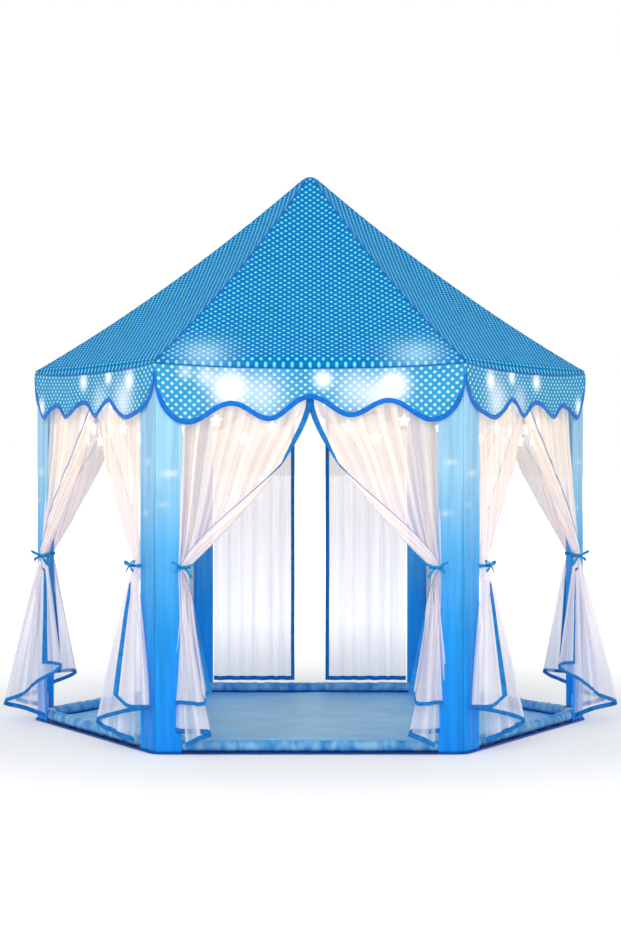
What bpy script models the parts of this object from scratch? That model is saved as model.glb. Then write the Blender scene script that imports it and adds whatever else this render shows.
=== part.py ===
"""A hexagonal play tent for children: a push-together tube frame under a sewn fabric skin.

Thirteen moulded connectors join twenty-four plastic tubes into a six-sided frame: a ring on the ground,
six legs, a ring at the eave and six bent roof poles that meet in a hub. A scalloped roof cover, six corner
sleeves and a floor mat are sewn round it, twelve sheer curtains hang from the eave tubes, and a battery
string of star lights hangs in swags under the roof.

Metres, +Z up, the front doorway faces -Y, and the origin lies on the ground under the peak.
"""

import math

import bmesh
import bpy
from mathutils import Matrix, Vector

# The tent as a whole
SIDES = 6
ACROSS_CORNERS = 1.400
PEAK_HEIGHT = 1.380
PEAK_BLUNTING = 0.009
EAVE_HEIGHT = 0.8836
HIP_SAG = 0.0235
FIT_GAP = 0.0003
WELD = 0.00006
SMOOTH_DEGREES = 35
UNIT = 1.0

# Frame tubes and the sockets that hold them
TUBE_RADIUS = 0.0095
TUBE_WALL = 0.0015
TUBE_CLEARANCE = 0.0002
TUBE_FACETS = 10
POLE_STEPS = 7
SEAM_WIDTH = 0.0012
SEAM_DEPTH = 0.0004
SOCKET_WALL = 0.0020
SOCKET_LENGTH = 0.050
SOCKET_STOP = 0.020
KNUCKLE_EXTRA = 0.0012
KNUCKLE_RINGS = 6
HUB_RADIUS = 0.024
HUB_CAP_GAP = 0.0022
HUB_SHOULDER_DROP = 0.010
# Two points that round the hub's cap: shares of its radius, then of its rise or of its shoulder's drop
HUB_CROWN_SHARES = (0.42, 0.60)
HUB_BROW_SHARES = (0.80, 0.35)
HUB_SKIRT_EXTRA = 0.0132
HUB_SOCKET_DEPTH = 0.034
HUB_WEB = 0.0012

# Fabric skin
COVER_THICKNESS = 0.0015
COVER_CLEARANCE = 0.0014
COVER_RINGS = 7
PEAK_RADIUS = 0.018
PEAK_ROUND_SHARES = (0.55, 0.06)
SLEEVE_THICKNESS = 0.0014
SLEEVE_ARM = 0.074
SLEEVE_FOLD = 0.0028
SLEEVE_STANDOFF = 0.0036
SLEEVE_TOP_DROP = 0.0045
SLEEVE_HEM_HEIGHT = 0.0015
VALANCE_LOBE_DROP = 0.126
VALANCE_CREST_DROP = 0.088
VALANCE_LOBES = 4
VALANCE_CORNER_DROP = 0.014
VALANCE_CORNER_ROUND = 0.075
VALANCE_CORNER_POWER = 0.8
VALANCE_LOBE_POWER = 1.15
VALANCE_STATIONS = 28
VALANCE_CROWD_SHARE = 0.45
MAT_THICKNESS = 0.0025
MAT_HEM_CLEARANCE = 0.0006
MAT_HEM_DEGREES = 280
MAT_HEM_STEPS = 8
MAT_HEM_START_SHARE = 1.6
MAT_CORNER_CUT = 0.054
MAT_CORNER_FACETS = 12
CUT_OVERRUN = 0.030

# Curtains, sheer cloth that hangs from the eave tubes
CLOTH_THICKNESS = 0.0014
CURTAIN_EDGE_GAP = 0.0030
CURTAIN_SET_IN = 0.0030
CURTAIN_COLUMNS = 14
CURTAIN_FOLDS = 3.5
TIE_HEIGHT = 0.420
TIE_WIDTH = 0.024
TIE_OUT = 0.006
TIE_FOLD = 0.0085
EDGE_CALM_SHARE = 0.75
EDGE_CALM_POWER = 6
DRAPE_ROWS = 4
DRAPE_SAG_SHARE = 0.215
DRAPE_PULL_SHARE = 0.35
DRAPE_FOLD = 0.0080
DRAPE_TOP_FOLD = 0.0050
SKIRT_ROWS = 4
SKIRT_SPREAD = 0.110
SKIRT_OUT = 0.115
SKIRT_FLARE_POWER = 1.25
HEM_HEIGHT = 0.155
# Round the hem from the post to the leading edge: shares of the cloth's width, then of SKIRT_SPREAD along
# the face, of SKIRT_OUT away from it, and of HEM_HEIGHT above the ground
HEM_SHARES = (
    (0.00, 0.00, 0.00, 0.08),
    (0.16, -0.04, 0.50, 0.22),
    (0.32, -0.10, 1.00, 0.34),
    (0.48, 0.26, 0.72, 0.48),
    (0.62, 0.30, 0.42, 0.66),
    (0.80, 1.00, 0.10, 0.96),
    (1.00, 0.42, 0.30, 1.00),
)
CLOSED_HALF_GAP = 0.044
CLOSED_HEM_HEIGHT = 0.036
CLOSED_ROWS = 3
CLOSED_FOLDS = 3.5
CLOSED_FOLD = 0.0085

# String of lights
CABLE_DIAMETER = 0.0022
CABLE_SUPPORT_INSET = 0.078
SWAG_DIP = 0.175
SWAG_POINTS = 7
CABLE_TAIL = 0.012
CABLE_LEAD_SHARE = 0.55
STAR_POINTS = 5
STAR_RADIUS = 0.0165
STAR_WAIST_SHARE = 0.48
STAR_THICKNESS = 0.008
STAR_HANG = 0.0085
STAR_PLACES = (2, 5)
BOX_WIDTH = 0.034
BOX_DEPTH = 0.020
BOX_HEIGHT = 0.066
BOX_EDGE = 0.003
BOX_STANDOFF = 0.002
BOX_DROP = 0.124
CLIP_WIDTH = 0.026
CLIP_HEIGHT = 0.018
CLIP_REACH = 0.017
SWITCH_WIDTH = 0.0060
SWITCH_HEIGHT = 0.0050
SWITCH_DEPTH = 0.0040
SWITCH_PROUD = 0.0022
SWITCH_TRAVEL = 0.0040
SWITCH_GAP = 0.0004

# Names, going round from the front as seen from above
FACES = ("front", "front_right", "back_right", "back", "back_left", "front_left")
CORNERS = ("front_left", "front_right", "right", "back_right", "back_left", "left")
CLOSED_FACE = "back"
UNLIT_FACE = "back"
BOX_CORNER = "back_left"

# Worked out from the sizes above
STEP = math.tau / SIDES
FLAT = math.cos(STEP / 2)
FIRST_CORNER = -math.pi / 2 - STEP / 2
COVER_FLAT = ACROSS_CORNERS / 2 * FLAT
SLEEVE_FLAT = COVER_FLAT - COVER_THICKNESS - FIT_GAP
BORE_RADIUS = (TUBE_RADIUS + TUBE_CLEARANCE) / math.cos(math.pi / TUBE_FACETS)
SOCKET_RADIUS = BORE_RADIUS + SOCKET_WALL
FRAME_FLAT = SLEEVE_FLAT - SLEEVE_THICKNESS - SLEEVE_STANDOFF - SOCKET_RADIUS
FRAME_CORNER = FRAME_FLAT / FLAT
BASE_HEIGHT = MAT_THICKNESS + FIT_GAP + SOCKET_RADIUS
HIP_BEND = 4 * HIP_SAG / FRAME_CORNER
HIP_DROP = PEAK_HEIGHT + PEAK_BLUNTING - EAVE_HEIGHT + HIP_BEND * (ACROSS_CORNERS / 2 - FRAME_CORNER)
MEAN_SLOPE = HIP_DROP / (ACROSS_CORNERS / 2)
HUB_SLOPE = MEAN_SLOPE + HIP_BEND
EAVE_SLOPE = MEAN_SLOPE - HIP_BEND
COVER_RISE = (SOCKET_RADIUS + COVER_CLEARANCE) * math.sqrt(1 + HUB_SLOPE ** 2)
HUB_HEIGHT = PEAK_HEIGHT + PEAK_BLUNTING - COVER_THICKNESS - COVER_RISE
FRAME_EAVE = HUB_HEIGHT - MEAN_SLOPE * FRAME_CORNER
HUB_CAP_RISE = COVER_RISE - PEAK_BLUNTING - HUB_CAP_GAP
HUB_SPREAD = math.acos((math.cos(STEP) + HUB_SLOPE ** 2) / (1 + HUB_SLOPE ** 2))
HUB_SOCKET_STOP = (BORE_RADIUS + HUB_WEB) / math.tan(HUB_SPREAD / 2)
HUB_SOCKET_LENGTH = HUB_SOCKET_STOP + HUB_SOCKET_DEPTH
HUB_SKIRT_DROP = HUB_SLOPE * HUB_RADIUS + HUB_SKIRT_EXTRA
MAT_HEM_TURN = math.radians(MAT_HEM_DEGREES) / MAT_HEM_STEPS
MAT_HEM_BORE = (TUBE_RADIUS + MAT_HEM_CLEARANCE) / math.cos(MAT_HEM_TURN / 2)
MAT_HEM_REACH = MAT_HEM_BORE + MAT_THICKNESS
SKIRT_CLEAR = MAT_HEM_REACH + CLOTH_THICKNESS
DOOR_HALF = ACROSS_CORNERS / 4 - SLEEVE_ARM - CURTAIN_EDGE_GAP
BOX_CENTRE_HEIGHT = EAVE_HEIGHT - BOX_DROP
CABLE_SUPPORT_RADIUS = FRAME_CORNER - CABLE_SUPPORT_INSET


def hip_height(radius):
    """Height of a roof pole's centreline at a distance from the tent's axis."""
    share = radius / FRAME_CORNER
    straight = HUB_HEIGHT - MEAN_SLOPE * radius
    return straight - 4 * HIP_SAG * share * (1 - share)


# Scene helpers

def clear_scene():
    for obj in list(bpy.data.objects):
        bpy.data.objects.remove(obj, do_unlink=True)


def collection(name):
    made = bpy.data.collections.new(name)
    bpy.context.scene.collection.children.link(made)
    return made


def finish(name, colour, roughness, metallic=0.0, alpha=1.0):
    """A Principled material."""
    material = bpy.data.materials.new(name)
    material.use_nodes = True
    shader = material.node_tree.nodes["Principled BSDF"]
    shader.inputs["Base Color"].default_value = (*colour, 1.0)
    shader.inputs["Roughness"].default_value = roughness
    shader.inputs["Metallic"].default_value = metallic
    shader.inputs["Alpha"].default_value = alpha
    return material


def add(name, data, group, material=None):
    """An object for a mesh or curve, linked to its collection."""
    obj = bpy.data.objects.new(name, data)
    group.objects.link(obj)
    if material:
        data.materials.clear()
        data.materials.append(material)
    return obj


def smooth(mesh):
    mesh.shade_smooth()
    mesh.set_sharp_from_angle(angle=math.radians(SMOOTH_DEGREES))


def baked(obj, name=None):
    """The object's evaluated mesh, in place of the object and its modifiers."""
    bpy.context.view_layer.update()
    graph = bpy.context.evaluated_depsgraph_get()
    mesh = bpy.data.meshes.new_from_object(obj.evaluated_get(graph))
    work = bmesh.new()
    work.from_mesh(mesh)
    bmesh.ops.remove_doubles(work, verts=work.verts, dist=WELD)
    bmesh.ops.dissolve_degenerate(work, edges=work.edges, dist=WELD)
    work.to_mesh(mesh)
    work.free()
    smooth(mesh)
    mesh.name = name or obj.name
    bpy.data.objects.remove(obj, do_unlink=True)
    return mesh


def outline_curve(name, points, half_depth, group):
    """A flat outline, filled and extruded half_depth to each side of its plane."""
    curve = bpy.data.curves.new(name, "CURVE")
    curve.dimensions = "2D"
    curve.fill_mode = "BOTH"
    curve.extrude = half_depth
    spline = curve.splines.new("POLY")
    spline.points.add(len(points) - 1)
    for place, (x, y) in zip(spline.points, points):
        place.co = (x, y, 0, 1)
    spline.use_cyclic_u = True
    return add(name, curve, group)


def curve_to_mesh(obj, group):
    """A closed mesh from a curve object, with its caps welded to its sides."""
    bpy.context.view_layer.update()
    graph = bpy.context.evaluated_depsgraph_get()
    mesh = bpy.data.meshes.new_from_object(obj.evaluated_get(graph))
    work = bmesh.new()
    work.from_mesh(mesh)
    bmesh.ops.remove_doubles(work, verts=work.verts, dist=WELD)
    bmesh.ops.recalc_face_normals(work, faces=work.faces)
    work.to_mesh(mesh)
    work.free()
    made = add(obj.name + "_mesh", mesh, group)
    made.matrix_world = obj.matrix_world
    bpy.data.objects.remove(obj, do_unlink=True)
    return made


def turned(name, profile, steps, group, closed=True, phase=0):
    """A shape turned about Z from (radius, height) points that run down its outer side."""
    mesh = bpy.data.meshes.new(name)
    work = bmesh.new()
    way = Vector((math.cos(phase), math.sin(phase), 0))
    places = [work.verts.new(way * radius + Vector((0, 0, height))) for radius, height in profile]
    for first, second in zip(places, places[1:]):
        work.edges.new((first, second))
    if closed:
        work.edges.new((places[-1], places[0]))
    work.to_mesh(mesh)
    work.free()
    obj = add(name, mesh, group)
    screw = obj.modifiers.new("turn", "SCREW")
    screw.steps = steps
    screw.render_steps = steps
    screw.use_merge_vertices = True
    screw.merge_threshold = WELD
    return obj


def cylinder(name, radius, start, end, group, facets=TUBE_FACETS):
    """A capped cylinder between two points."""
    axis = end - start
    mesh = bpy.data.meshes.new(name)
    work = bmesh.new()
    bmesh.ops.create_cone(
        work, cap_ends=True, segments=facets, radius1=radius, radius2=radius, depth=axis.length
    )
    work.to_mesh(mesh)
    work.free()
    obj = add(name, mesh, group)
    obj.location = (start + end) / 2
    obj.rotation_mode = "QUATERNION"
    obj.rotation_quaternion = axis.to_track_quat("Z", "Y")
    return obj


def ball(name, radius, group):
    mesh = bpy.data.meshes.new(name)
    work = bmesh.new()
    bmesh.ops.create_uvsphere(work, u_segments=TUBE_FACETS, v_segments=KNUCKLE_RINGS, radius=radius)
    work.to_mesh(mesh)
    work.free()
    return add(name, mesh, group)


def block(name, size, centre, group):
    mesh = bpy.data.meshes.new(name)
    work = bmesh.new()
    bmesh.ops.create_cube(work, size=UNIT)
    bmesh.ops.scale(work, vec=size, verts=work.verts)
    work.to_mesh(mesh)
    work.free()
    obj = add(name, mesh, group)
    obj.location = centre
    return obj


def combine(obj, others, operation, solver="EXACT"):
    """One Boolean modifier for each other object."""
    for other in others:
        other.hide_render = True
        other.display_type = "WIRE"
        boolean = obj.modifiers.new(operation.lower(), "BOOLEAN")
        boolean.operation = operation
        boolean.solver = solver
        boolean.object = other


def remove(objects):
    for obj in objects:
        bpy.data.objects.remove(obj, do_unlink=True)


def bezier(start, control, end, share):
    return start.lerp(control, share).lerp(control.lerp(end, share), share)


# Frame

def tube_mesh(length, group):
    """A hollow tube on Z, centred, with the hairline where its two sections push together."""
    half = length / 2
    inner = TUBE_RADIUS - TUBE_WALL
    profile = [
        (TUBE_RADIUS, half),
        (TUBE_RADIUS, SEAM_WIDTH / 2),
        (TUBE_RADIUS - SEAM_DEPTH, 0),
        (TUBE_RADIUS, -SEAM_WIDTH / 2),
        (TUBE_RADIUS, -half),
        (inner, -half),
        (inner, half),
    ]
    return baked(turned("tube", profile, TUBE_FACETS, group))


def socketed(name, arms, root, length, stop, core, helpers):
    """A moulded connector: a core with a socket along each direction, bored to its stop.

    Its unions are of closed, convex solids, for which the MANIFOLD solver leaves the cleanest edges.
    """
    shells = [
        cylinder("arm", SOCKET_RADIUS, direction * root, direction * length, helpers)
        for direction in arms
    ]
    bores = [
        cylinder("bore", BORE_RADIUS, direction * stop, direction * (length + CUT_OVERRUN), helpers)
        for direction in arms
    ]
    combine(core, shells, "UNION", "MANIFOLD")
    combine(core, bores, "DIFFERENCE", "MANIFOLD")
    mesh = baked(core, name=name)
    remove(shells + bores)
    return mesh


def corner_arms(rise):
    """Directions from a corner on +X to the next tube each way round, and up the leg."""
    reach = Vector((-math.sin(STEP / 2), 0, 0))
    across = Vector((0, math.cos(STEP / 2), 0))
    return [reach + across, reach - across, Vector((0, 0, rise))]


def make_frame(parts, helpers, plastic, tube):
    """Tubes and connectors, six of each kind, and the hub at the peak."""
    base_core = ball("knuckle", SOCKET_RADIUS, helpers)
    base_joint = socketed(
        "base_joint", corner_arms(1), 0, SOCKET_LENGTH, SOCKET_STOP, base_core, helpers
    )
    pole_arm = Vector((-1, 0, EAVE_SLOPE)).normalized()
    eave_core = ball("knuckle", SOCKET_RADIUS + KNUCKLE_EXTRA, helpers)
    eave_arms = [*corner_arms(-1), pole_arm]
    eave_joint = socketed(
        "eave_joint", eave_arms, 0, SOCKET_LENGTH, SOCKET_STOP, eave_core, helpers
    )
    leg = tube_mesh(FRAME_EAVE - BASE_HEIGHT - 2 * (SOCKET_STOP + FIT_GAP), helpers)
    rail = tube_mesh(FRAME_CORNER - 2 * (SOCKET_STOP + FIT_GAP), helpers)
    pole = pole_mesh(helpers)
    for number, corner in enumerate(CORNERS):
        angle = FIRST_CORNER + number * STEP
        spoke = Vector((math.cos(angle), math.sin(angle), 0))
        place_joint(f"base_connector_{corner}", base_joint, spoke, BASE_HEIGHT, angle, parts, plastic)
        place_joint(f"eave_connector_{corner}", eave_joint, spoke, FRAME_EAVE, angle, parts, plastic)
        post = add(f"leg_{corner}", leg, parts, tube)
        post.location = spoke * FRAME_CORNER + Vector((0, 0, (BASE_HEIGHT + FRAME_EAVE) / 2))
        roof_pole = add(f"roof_pole_{corner}", pole, parts, tube)
        roof_pole.rotation_euler.z = angle
    for number, face in enumerate(FACES):
        for name, height in (("base_tube", BASE_HEIGHT), ("eave_tube", FRAME_EAVE)):
            bar = add(f"{name}_{face}", rail, parts, tube)
            turn = Matrix.Rotation(number * STEP, 4, "Z")
            bar.location = turn @ Vector((0, -FRAME_FLAT, height))
            bar.rotation_euler = (0, math.pi / 2, number * STEP)
    add("roof_hub", hub_mesh(helpers), parts, plastic).location.z = HUB_HEIGHT


def place_joint(name, mesh, spoke, height, angle, parts, material):
    joint = add(name, mesh, parts, material)
    joint.location = spoke * FRAME_CORNER + Vector((0, 0, height))
    joint.rotation_euler.z = angle


def pole_mesh(group):
    """A roof pole in the XZ plane: straight in its sockets, and bent down between them."""
    down = Vector((1, 0, -HUB_SLOPE)).normalized()
    up = Vector((-1, 0, EAVE_SLOPE)).normalized()
    hub = Vector((0, 0, HUB_HEIGHT))
    eave = Vector((FRAME_CORNER, 0, FRAME_EAVE))
    middle = hub + Vector((1, 0, -HUB_SLOPE)) * FRAME_CORNER / 2
    first = hub + down * (HUB_SOCKET_STOP + FIT_GAP)
    last = eave + up * (SOCKET_STOP + FIT_GAP)
    start = hub + down * HUB_SOCKET_LENGTH
    end = eave + up * SOCKET_LENGTH
    bend = [bezier(start, middle, end, step / POLE_STEPS) for step in range(POLE_STEPS + 1)]
    curve = bpy.data.curves.new("pole", "CURVE")
    curve.dimensions = "3D"
    curve.bevel_depth = TUBE_RADIUS
    curve.bevel_resolution = 3
    curve.use_fill_caps = True
    spline = curve.splines.new("POLY")
    route = [first, *bend, last]
    spline.points.add(len(route) - 1)
    for place, point in zip(spline.points, route):
        place.co = (*point, 1)
    obj = curve_to_mesh(add("pole", curve, group), group)
    return baked(obj, name="roof_pole")


def hub_mesh(helpers):
    """A domed six-way hub, with its sockets aimed down the roof poles."""
    crown_reach, crown_rise = HUB_CROWN_SHARES
    brow_reach, brow_drop = HUB_BROW_SHARES
    profile = [
        (0, HUB_CAP_RISE),
        (HUB_RADIUS * crown_reach, HUB_CAP_RISE * crown_rise),
        (HUB_RADIUS * brow_reach, -HUB_SHOULDER_DROP * brow_drop),
        (HUB_RADIUS, -HUB_SHOULDER_DROP),
        (HUB_RADIUS, -HUB_SKIRT_DROP),
        (0, -HUB_SKIRT_DROP),
    ]
    core = turned("hub_core", profile, 2 * SIDES, helpers, closed=False, phase=STEP / 4)
    arms = []
    for number in range(SIDES):
        angle = FIRST_CORNER + number * STEP
        arms.append(Vector((math.cos(angle), math.sin(angle), -HUB_SLOPE)).normalized())
    root = HUB_RADIUS / 2
    return socketed("roof_hub", arms, root, HUB_SOCKET_LENGTH, HUB_SOCKET_STOP, core, helpers)


# Roof cover, sleeves and floor mat

def offset_line(points, distance):
    """An open line moved to its right by a distance, with mitred corners."""
    moved = []
    for index, point in enumerate(points):
        before = points[max(index - 1, 0)]
        after = points[min(index + 1, len(points) - 1)]
        ahead = (Vector(after) - Vector(point)).normalized() if after != point else None
        behind = (Vector(point) - Vector(before)).normalized() if before != point else None
        ways = [way for way in (behind, ahead) if way]
        sides = [Vector((way.y, -way.x)) for way in ways]
        mean = sum(sides, Vector((0, 0))).normalized()
        moved.append(tuple(Vector(point) + mean * distance / mean.dot(sides[0])))
    return moved


def six_sided(name, outer, inner, group):
    """A six-sided shell with mitred corners, from (distance to a flat side, height) points."""
    profile = [(radius / FLAT, height) for radius, height in outer + inner[::-1]]
    return turned(name, profile, SIDES, group)


def cover_line():
    """The roof cover's outer line on a flat side, from the blunt peak to the valance's lowest point."""
    reach, fall = PEAK_ROUND_SHARES
    line = [(0, PEAK_HEIGHT), (PEAK_RADIUS * reach * FLAT, PEAK_HEIGHT - PEAK_BLUNTING * fall)]
    rise = COVER_RISE + COVER_THICKNESS
    for number in range(COVER_RINGS + 1):
        radius = PEAK_RADIUS + (FRAME_CORNER - PEAK_RADIUS) * number / COVER_RINGS
        line.append((radius * FLAT, hip_height(radius) + rise))
    line.append((COVER_FLAT, EAVE_HEIGHT))
    line.append((COVER_FLAT, EAVE_HEIGHT - VALANCE_LOBE_DROP))
    return line


def make_cover(parts, helpers, cloth):
    """Six gores and six scalloped valances, sewn into one cover."""
    outer = cover_line()
    inner = offset_line(outer, COVER_THICKNESS)
    inner[0] = (0, PEAK_HEIGHT - COVER_THICKNESS)
    cover = six_sided("roof_cover", outer, inner, parts)
    cover.data.materials.append(cloth)
    cover.rotation_euler.z = FIRST_CORNER
    cutters = []
    for number in range(SIDES):
        blank = outline_curve("scallop", scallop_outline(), CUT_OVERRUN, helpers)
        cutter = curve_to_mesh(blank, helpers)
        turn = Matrix.Rotation(number * STEP, 4, "Z")
        upright = Matrix.Rotation(math.pi / 2, 4, "X")
        cutter.matrix_world = turn @ Matrix.Translation((0, -COVER_FLAT, 0)) @ upright
        cutters.append(cutter)
    combine(cover, cutters, "DIFFERENCE")
    mesh = baked(cover, name="roof_cover")
    remove(cutters)
    add("roof_cover", mesh, parts, cloth)


def valance_edge(share):
    """Height of a valance's lower edge, from -1 at one corner of its side to 1 at the other."""
    wave = (1 + math.cos(math.pi * VALANCE_LOBES * share)) / 2
    drop = VALANCE_LOBE_DROP - (VALANCE_LOBE_DROP - VALANCE_CREST_DROP) * wave ** VALANCE_LOBE_POWER
    room = (1 - abs(share)) * ACROSS_CORNERS / 4
    if room < VALANCE_CORNER_ROUND:
        bow = math.sqrt(1 - (1 - room / VALANCE_CORNER_ROUND) ** 2) ** VALANCE_CORNER_POWER
        drop = VALANCE_CORNER_DROP + (VALANCE_LOBE_DROP - VALANCE_CORNER_DROP) * bow
    return EAVE_HEIGHT - drop


def scallop_outline():
    """What is cut from one side of the cover: all below the edge, with more points near its corners."""
    half = ACROSS_CORNERS / 4
    top = []
    for number in range(VALANCE_STATIONS + 1):
        even = 2 * number / VALANCE_STATIONS - 1
        crowded = math.sin(math.pi / 2 * even)
        share = even + (crowded - even) * VALANCE_CROWD_SHARE
        top.append((share * half, valance_edge(share)))
    low = EAVE_HEIGHT - VALANCE_LOBE_DROP - CUT_OVERRUN
    edge = half + COVER_THICKNESS
    return [(-edge, low), (edge, low), (edge, top[-1][1]), *top[::-1], (-edge, top[0][1])]


def make_sleeves(parts, cloth):
    """A bent strip of fabric over each corner, from the eave to the ground."""
    arm_shares = (0.0, 0.30, 0.62, 1.0)
    fold_shares = (0.0, 0.0, 1.0, 0.1)
    foot = SLEEVE_HEM_HEIGHT
    top = EAVE_HEIGHT - SLEEVE_TOP_DROP
    ridge = SLEEVE_FLAT / FLAT
    along = Vector((-math.sin(STEP / 2), math.cos(STEP / 2)))
    inward = Vector((-math.cos(STEP / 2), -math.sin(STEP / 2)))
    arm = [
        Vector((ridge, 0)) + along * SLEEVE_ARM * share + inward * SLEEVE_FOLD * fold
        for share, fold in zip(arm_shares, fold_shares)
    ]
    skin = SLEEVE_THICKNESS
    inner_ridge = Vector((ridge - skin / FLAT, 0))
    inner_arm = [inner_ridge] + [point + inward * skin for point in arm[1:]]
    upper = arm[::-1] + [Vector((point.x, -point.y)) for point in arm[1:]]
    lower = inner_arm[::-1] + [Vector((point.x, -point.y)) for point in inner_arm[1:]]
    outline = [tuple(point) for point in upper + lower[::-1]]
    strip = outline_curve("sleeve", outline, (top - foot) / 2, parts)
    mesh = baked(curve_to_mesh(strip, parts), name="corner_sleeve")
    for number, corner in enumerate(CORNERS):
        sleeve = add(f"corner_sleeve_{corner}", mesh, parts, cloth)
        sleeve.location.z = (top + foot) / 2
        sleeve.rotation_euler.z = FIRST_CORNER + number * STEP


def make_mat(parts, helpers, cloth):
    """A floor sheet whose edge turns up and back round the ground tubes as a hem."""
    line = [(0, 0), (FRAME_FLAT - MAT_HEM_START_SHARE * MAT_HEM_BORE, 0)]
    for step in range(MAT_HEM_STEPS + 1):
        angle = step * MAT_HEM_TURN - math.pi / 2
        rim = Vector((math.cos(angle), math.sin(angle))) * MAT_HEM_REACH
        line.append((FRAME_FLAT + rim.x, BASE_HEIGHT + rim.y))
    inner = offset_line(line, -MAT_THICKNESS)
    inner[0] = (0, MAT_THICKNESS)
    mat = six_sided("floor_mat", inner, line, parts)
    mat.rotation_euler.z = FIRST_CORNER
    cutters = []
    for number in range(SIDES):
        angle = FIRST_CORNER + number * STEP
        spoke = Vector((math.cos(angle), math.sin(angle), 0)) * FRAME_CORNER
        floor = spoke + Vector((0, 0, MAT_THICKNESS + FIT_GAP / 2))
        ceiling = spoke + Vector((0, 0, BASE_HEIGHT + CUT_OVERRUN))
        cutters.append(
            cylinder("corner_cut", MAT_CORNER_CUT, floor, ceiling, helpers, MAT_CORNER_FACETS)
        )
    combine(mat, cutters, "DIFFERENCE")
    mesh = baked(mat, name="floor_mat")
    remove(cutters)
    add("floor_mat", mesh, parts, cloth)


# Curtains

def hem_point(across):
    """A point on a tied curtain's hem, as (from the post, outward, height), on a line through its shares."""
    spans = list(zip(HEM_SHARES, HEM_SHARES[1:]))
    number = next(i for i, (_, after) in enumerate(spans) if across <= after[0])
    before, after = spans[number]
    share = (across - before[0]) / (after[0] - before[0])
    earlier = HEM_SHARES[max(number - 1, 0)]
    later = HEM_SHARES[min(number + 2, len(HEM_SHARES) - 1)]
    sizes = (SKIRT_SPREAD, SKIRT_OUT, HEM_HEIGHT)
    place = []
    for index, size in enumerate(sizes, start=1):
        lead_in = (after[index] - earlier[index]) / 2
        lead_out = (later[index] - before[index]) / 2
        cubic = (
            before[index] * (2 * share ** 3 - 3 * share ** 2 + 1)
            + lead_in * (share ** 3 - 2 * share ** 2 + share)
            + after[index] * (3 * share ** 2 - 2 * share ** 3)
            + lead_out * (share ** 3 - share ** 2)
        )
        place.append(cubic * size)
    return Vector(place)


def tied_point(across, row):
    """A point of a tied curtain, as (from the post, outward, down), seen from the eave tube's axis."""
    wave = math.sin(math.tau * CURTAIN_FOLDS * across)
    calm = 1 - EDGE_CALM_SHARE * across ** EDGE_CALM_POWER
    drop_top = TUBE_RADIUS + FIT_GAP
    width = DOOR_HALF - CURTAIN_EDGE_GAP
    tie_drop = FRAME_EAVE - TIE_HEIGHT
    top = Vector((across * width, 0, drop_top))
    tie = Vector((CURTAIN_EDGE_GAP / 2 + across * TIE_WIDTH, 0, tie_drop))
    if row <= DRAPE_ROWS:
        share = row / DRAPE_ROWS
        middle = (top + tie) / 2 + Vector((0, 0, DRAPE_SAG_SHARE * tie_drop * across))
        middle.x = top.x + (tie.x - top.x) * DRAPE_PULL_SHARE
        point = bezier(top, middle, tie, share)
        fold = DRAPE_TOP_FOLD + (DRAPE_FOLD - DRAPE_TOP_FOLD) * min(1, 2 * share)
        out = -CURTAIN_SET_IN * (1 - share) + TIE_OUT * share ** 2
        return Vector((point.x, out + wave * fold * calm, point.z))
    share = (row - DRAPE_ROWS) / SKIRT_ROWS
    hem = hem_point(across)
    start = Vector((tie.x, TIE_OUT + wave * TIE_FOLD, tie.z))
    end = Vector((CURTAIN_EDGE_GAP / 2 + hem.x, SKIRT_CLEAR + hem.y, FRAME_EAVE - hem.z))
    flare = share ** SKIRT_FLARE_POWER
    return Vector((*start.xy.lerp(end.xy, flare), start.z + (end.z - start.z) * share))


def closed_point(across, row):
    """A point of a curtain that hangs straight down, untied."""
    share = row / CLOSED_ROWS
    wave = math.sin(math.tau * CLOSED_FOLDS * across)
    drop_top = TUBE_RADIUS + FIT_GAP
    width = DOOR_HALF - CLOSED_HALF_GAP
    fold = DRAPE_TOP_FOLD + (CLOSED_FOLD - DRAPE_TOP_FOLD) * share
    down = drop_top + (FRAME_EAVE - CLOSED_HEM_HEIGHT - drop_top) * share
    return Vector((across * width, -CURTAIN_SET_IN + wave * fold, down))


def curtain_mesh(name, rows, point_at, mirrored, group):
    """A pleated sheet for half of a doorway, from points seen from the eave tube's axis."""
    mesh = bpy.data.meshes.new(name)
    work = bmesh.new()
    bmesh.ops.create_grid(work, x_segments=CURTAIN_COLUMNS, y_segments=rows, size=UNIT)
    for vert in work.verts:
        across = (1 + vert.co.x) / 2
        row = (1 - vert.co.y) / 2 * rows
        point = point_at(across, row)
        vert.co = Vector((point.x - DOOR_HALF, -point.y, -point.z))
        if mirrored:
            vert.co.x = -vert.co.x
    bmesh.ops.recalc_face_normals(work, faces=work.faces)
    work.to_mesh(mesh)
    work.free()
    obj = add(name, mesh, group)
    skin = obj.modifiers.new("cloth", "SOLIDIFY")
    skin.thickness = CLOTH_THICKNESS
    skin.offset = 0
    made = baked(obj, name=name)
    work = bmesh.new()
    work.from_mesh(made)
    bmesh.ops.recalc_face_normals(work, faces=work.faces)
    work.to_mesh(made)
    work.free()
    return made


def make_curtains(parts, helpers, voile):
    """Two curtains for each doorway. All but the back pair are drawn aside and tied."""
    rows = DRAPE_ROWS + SKIRT_ROWS
    shapes = {}
    for side, mirrored in (("left", False), ("right", True)):
        shapes["tied", side] = curtain_mesh("tied", rows, tied_point, mirrored, helpers)
        shapes["closed", side] = curtain_mesh("closed", CLOSED_ROWS, closed_point, mirrored, helpers)
    for number, face in enumerate(FACES):
        turn = Matrix.Rotation(number * STEP, 4, "Z")
        for side in ("left", "right"):
            kind = "closed" if face == CLOSED_FACE else "tied"
            curtain = add(f"curtain_{face}_{side}", shapes[kind, side], parts, voile)
            curtain.location = turn @ Vector((0, -FRAME_FLAT, FRAME_EAVE))
            curtain.rotation_euler.z = number * STEP


# String of lights

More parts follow.
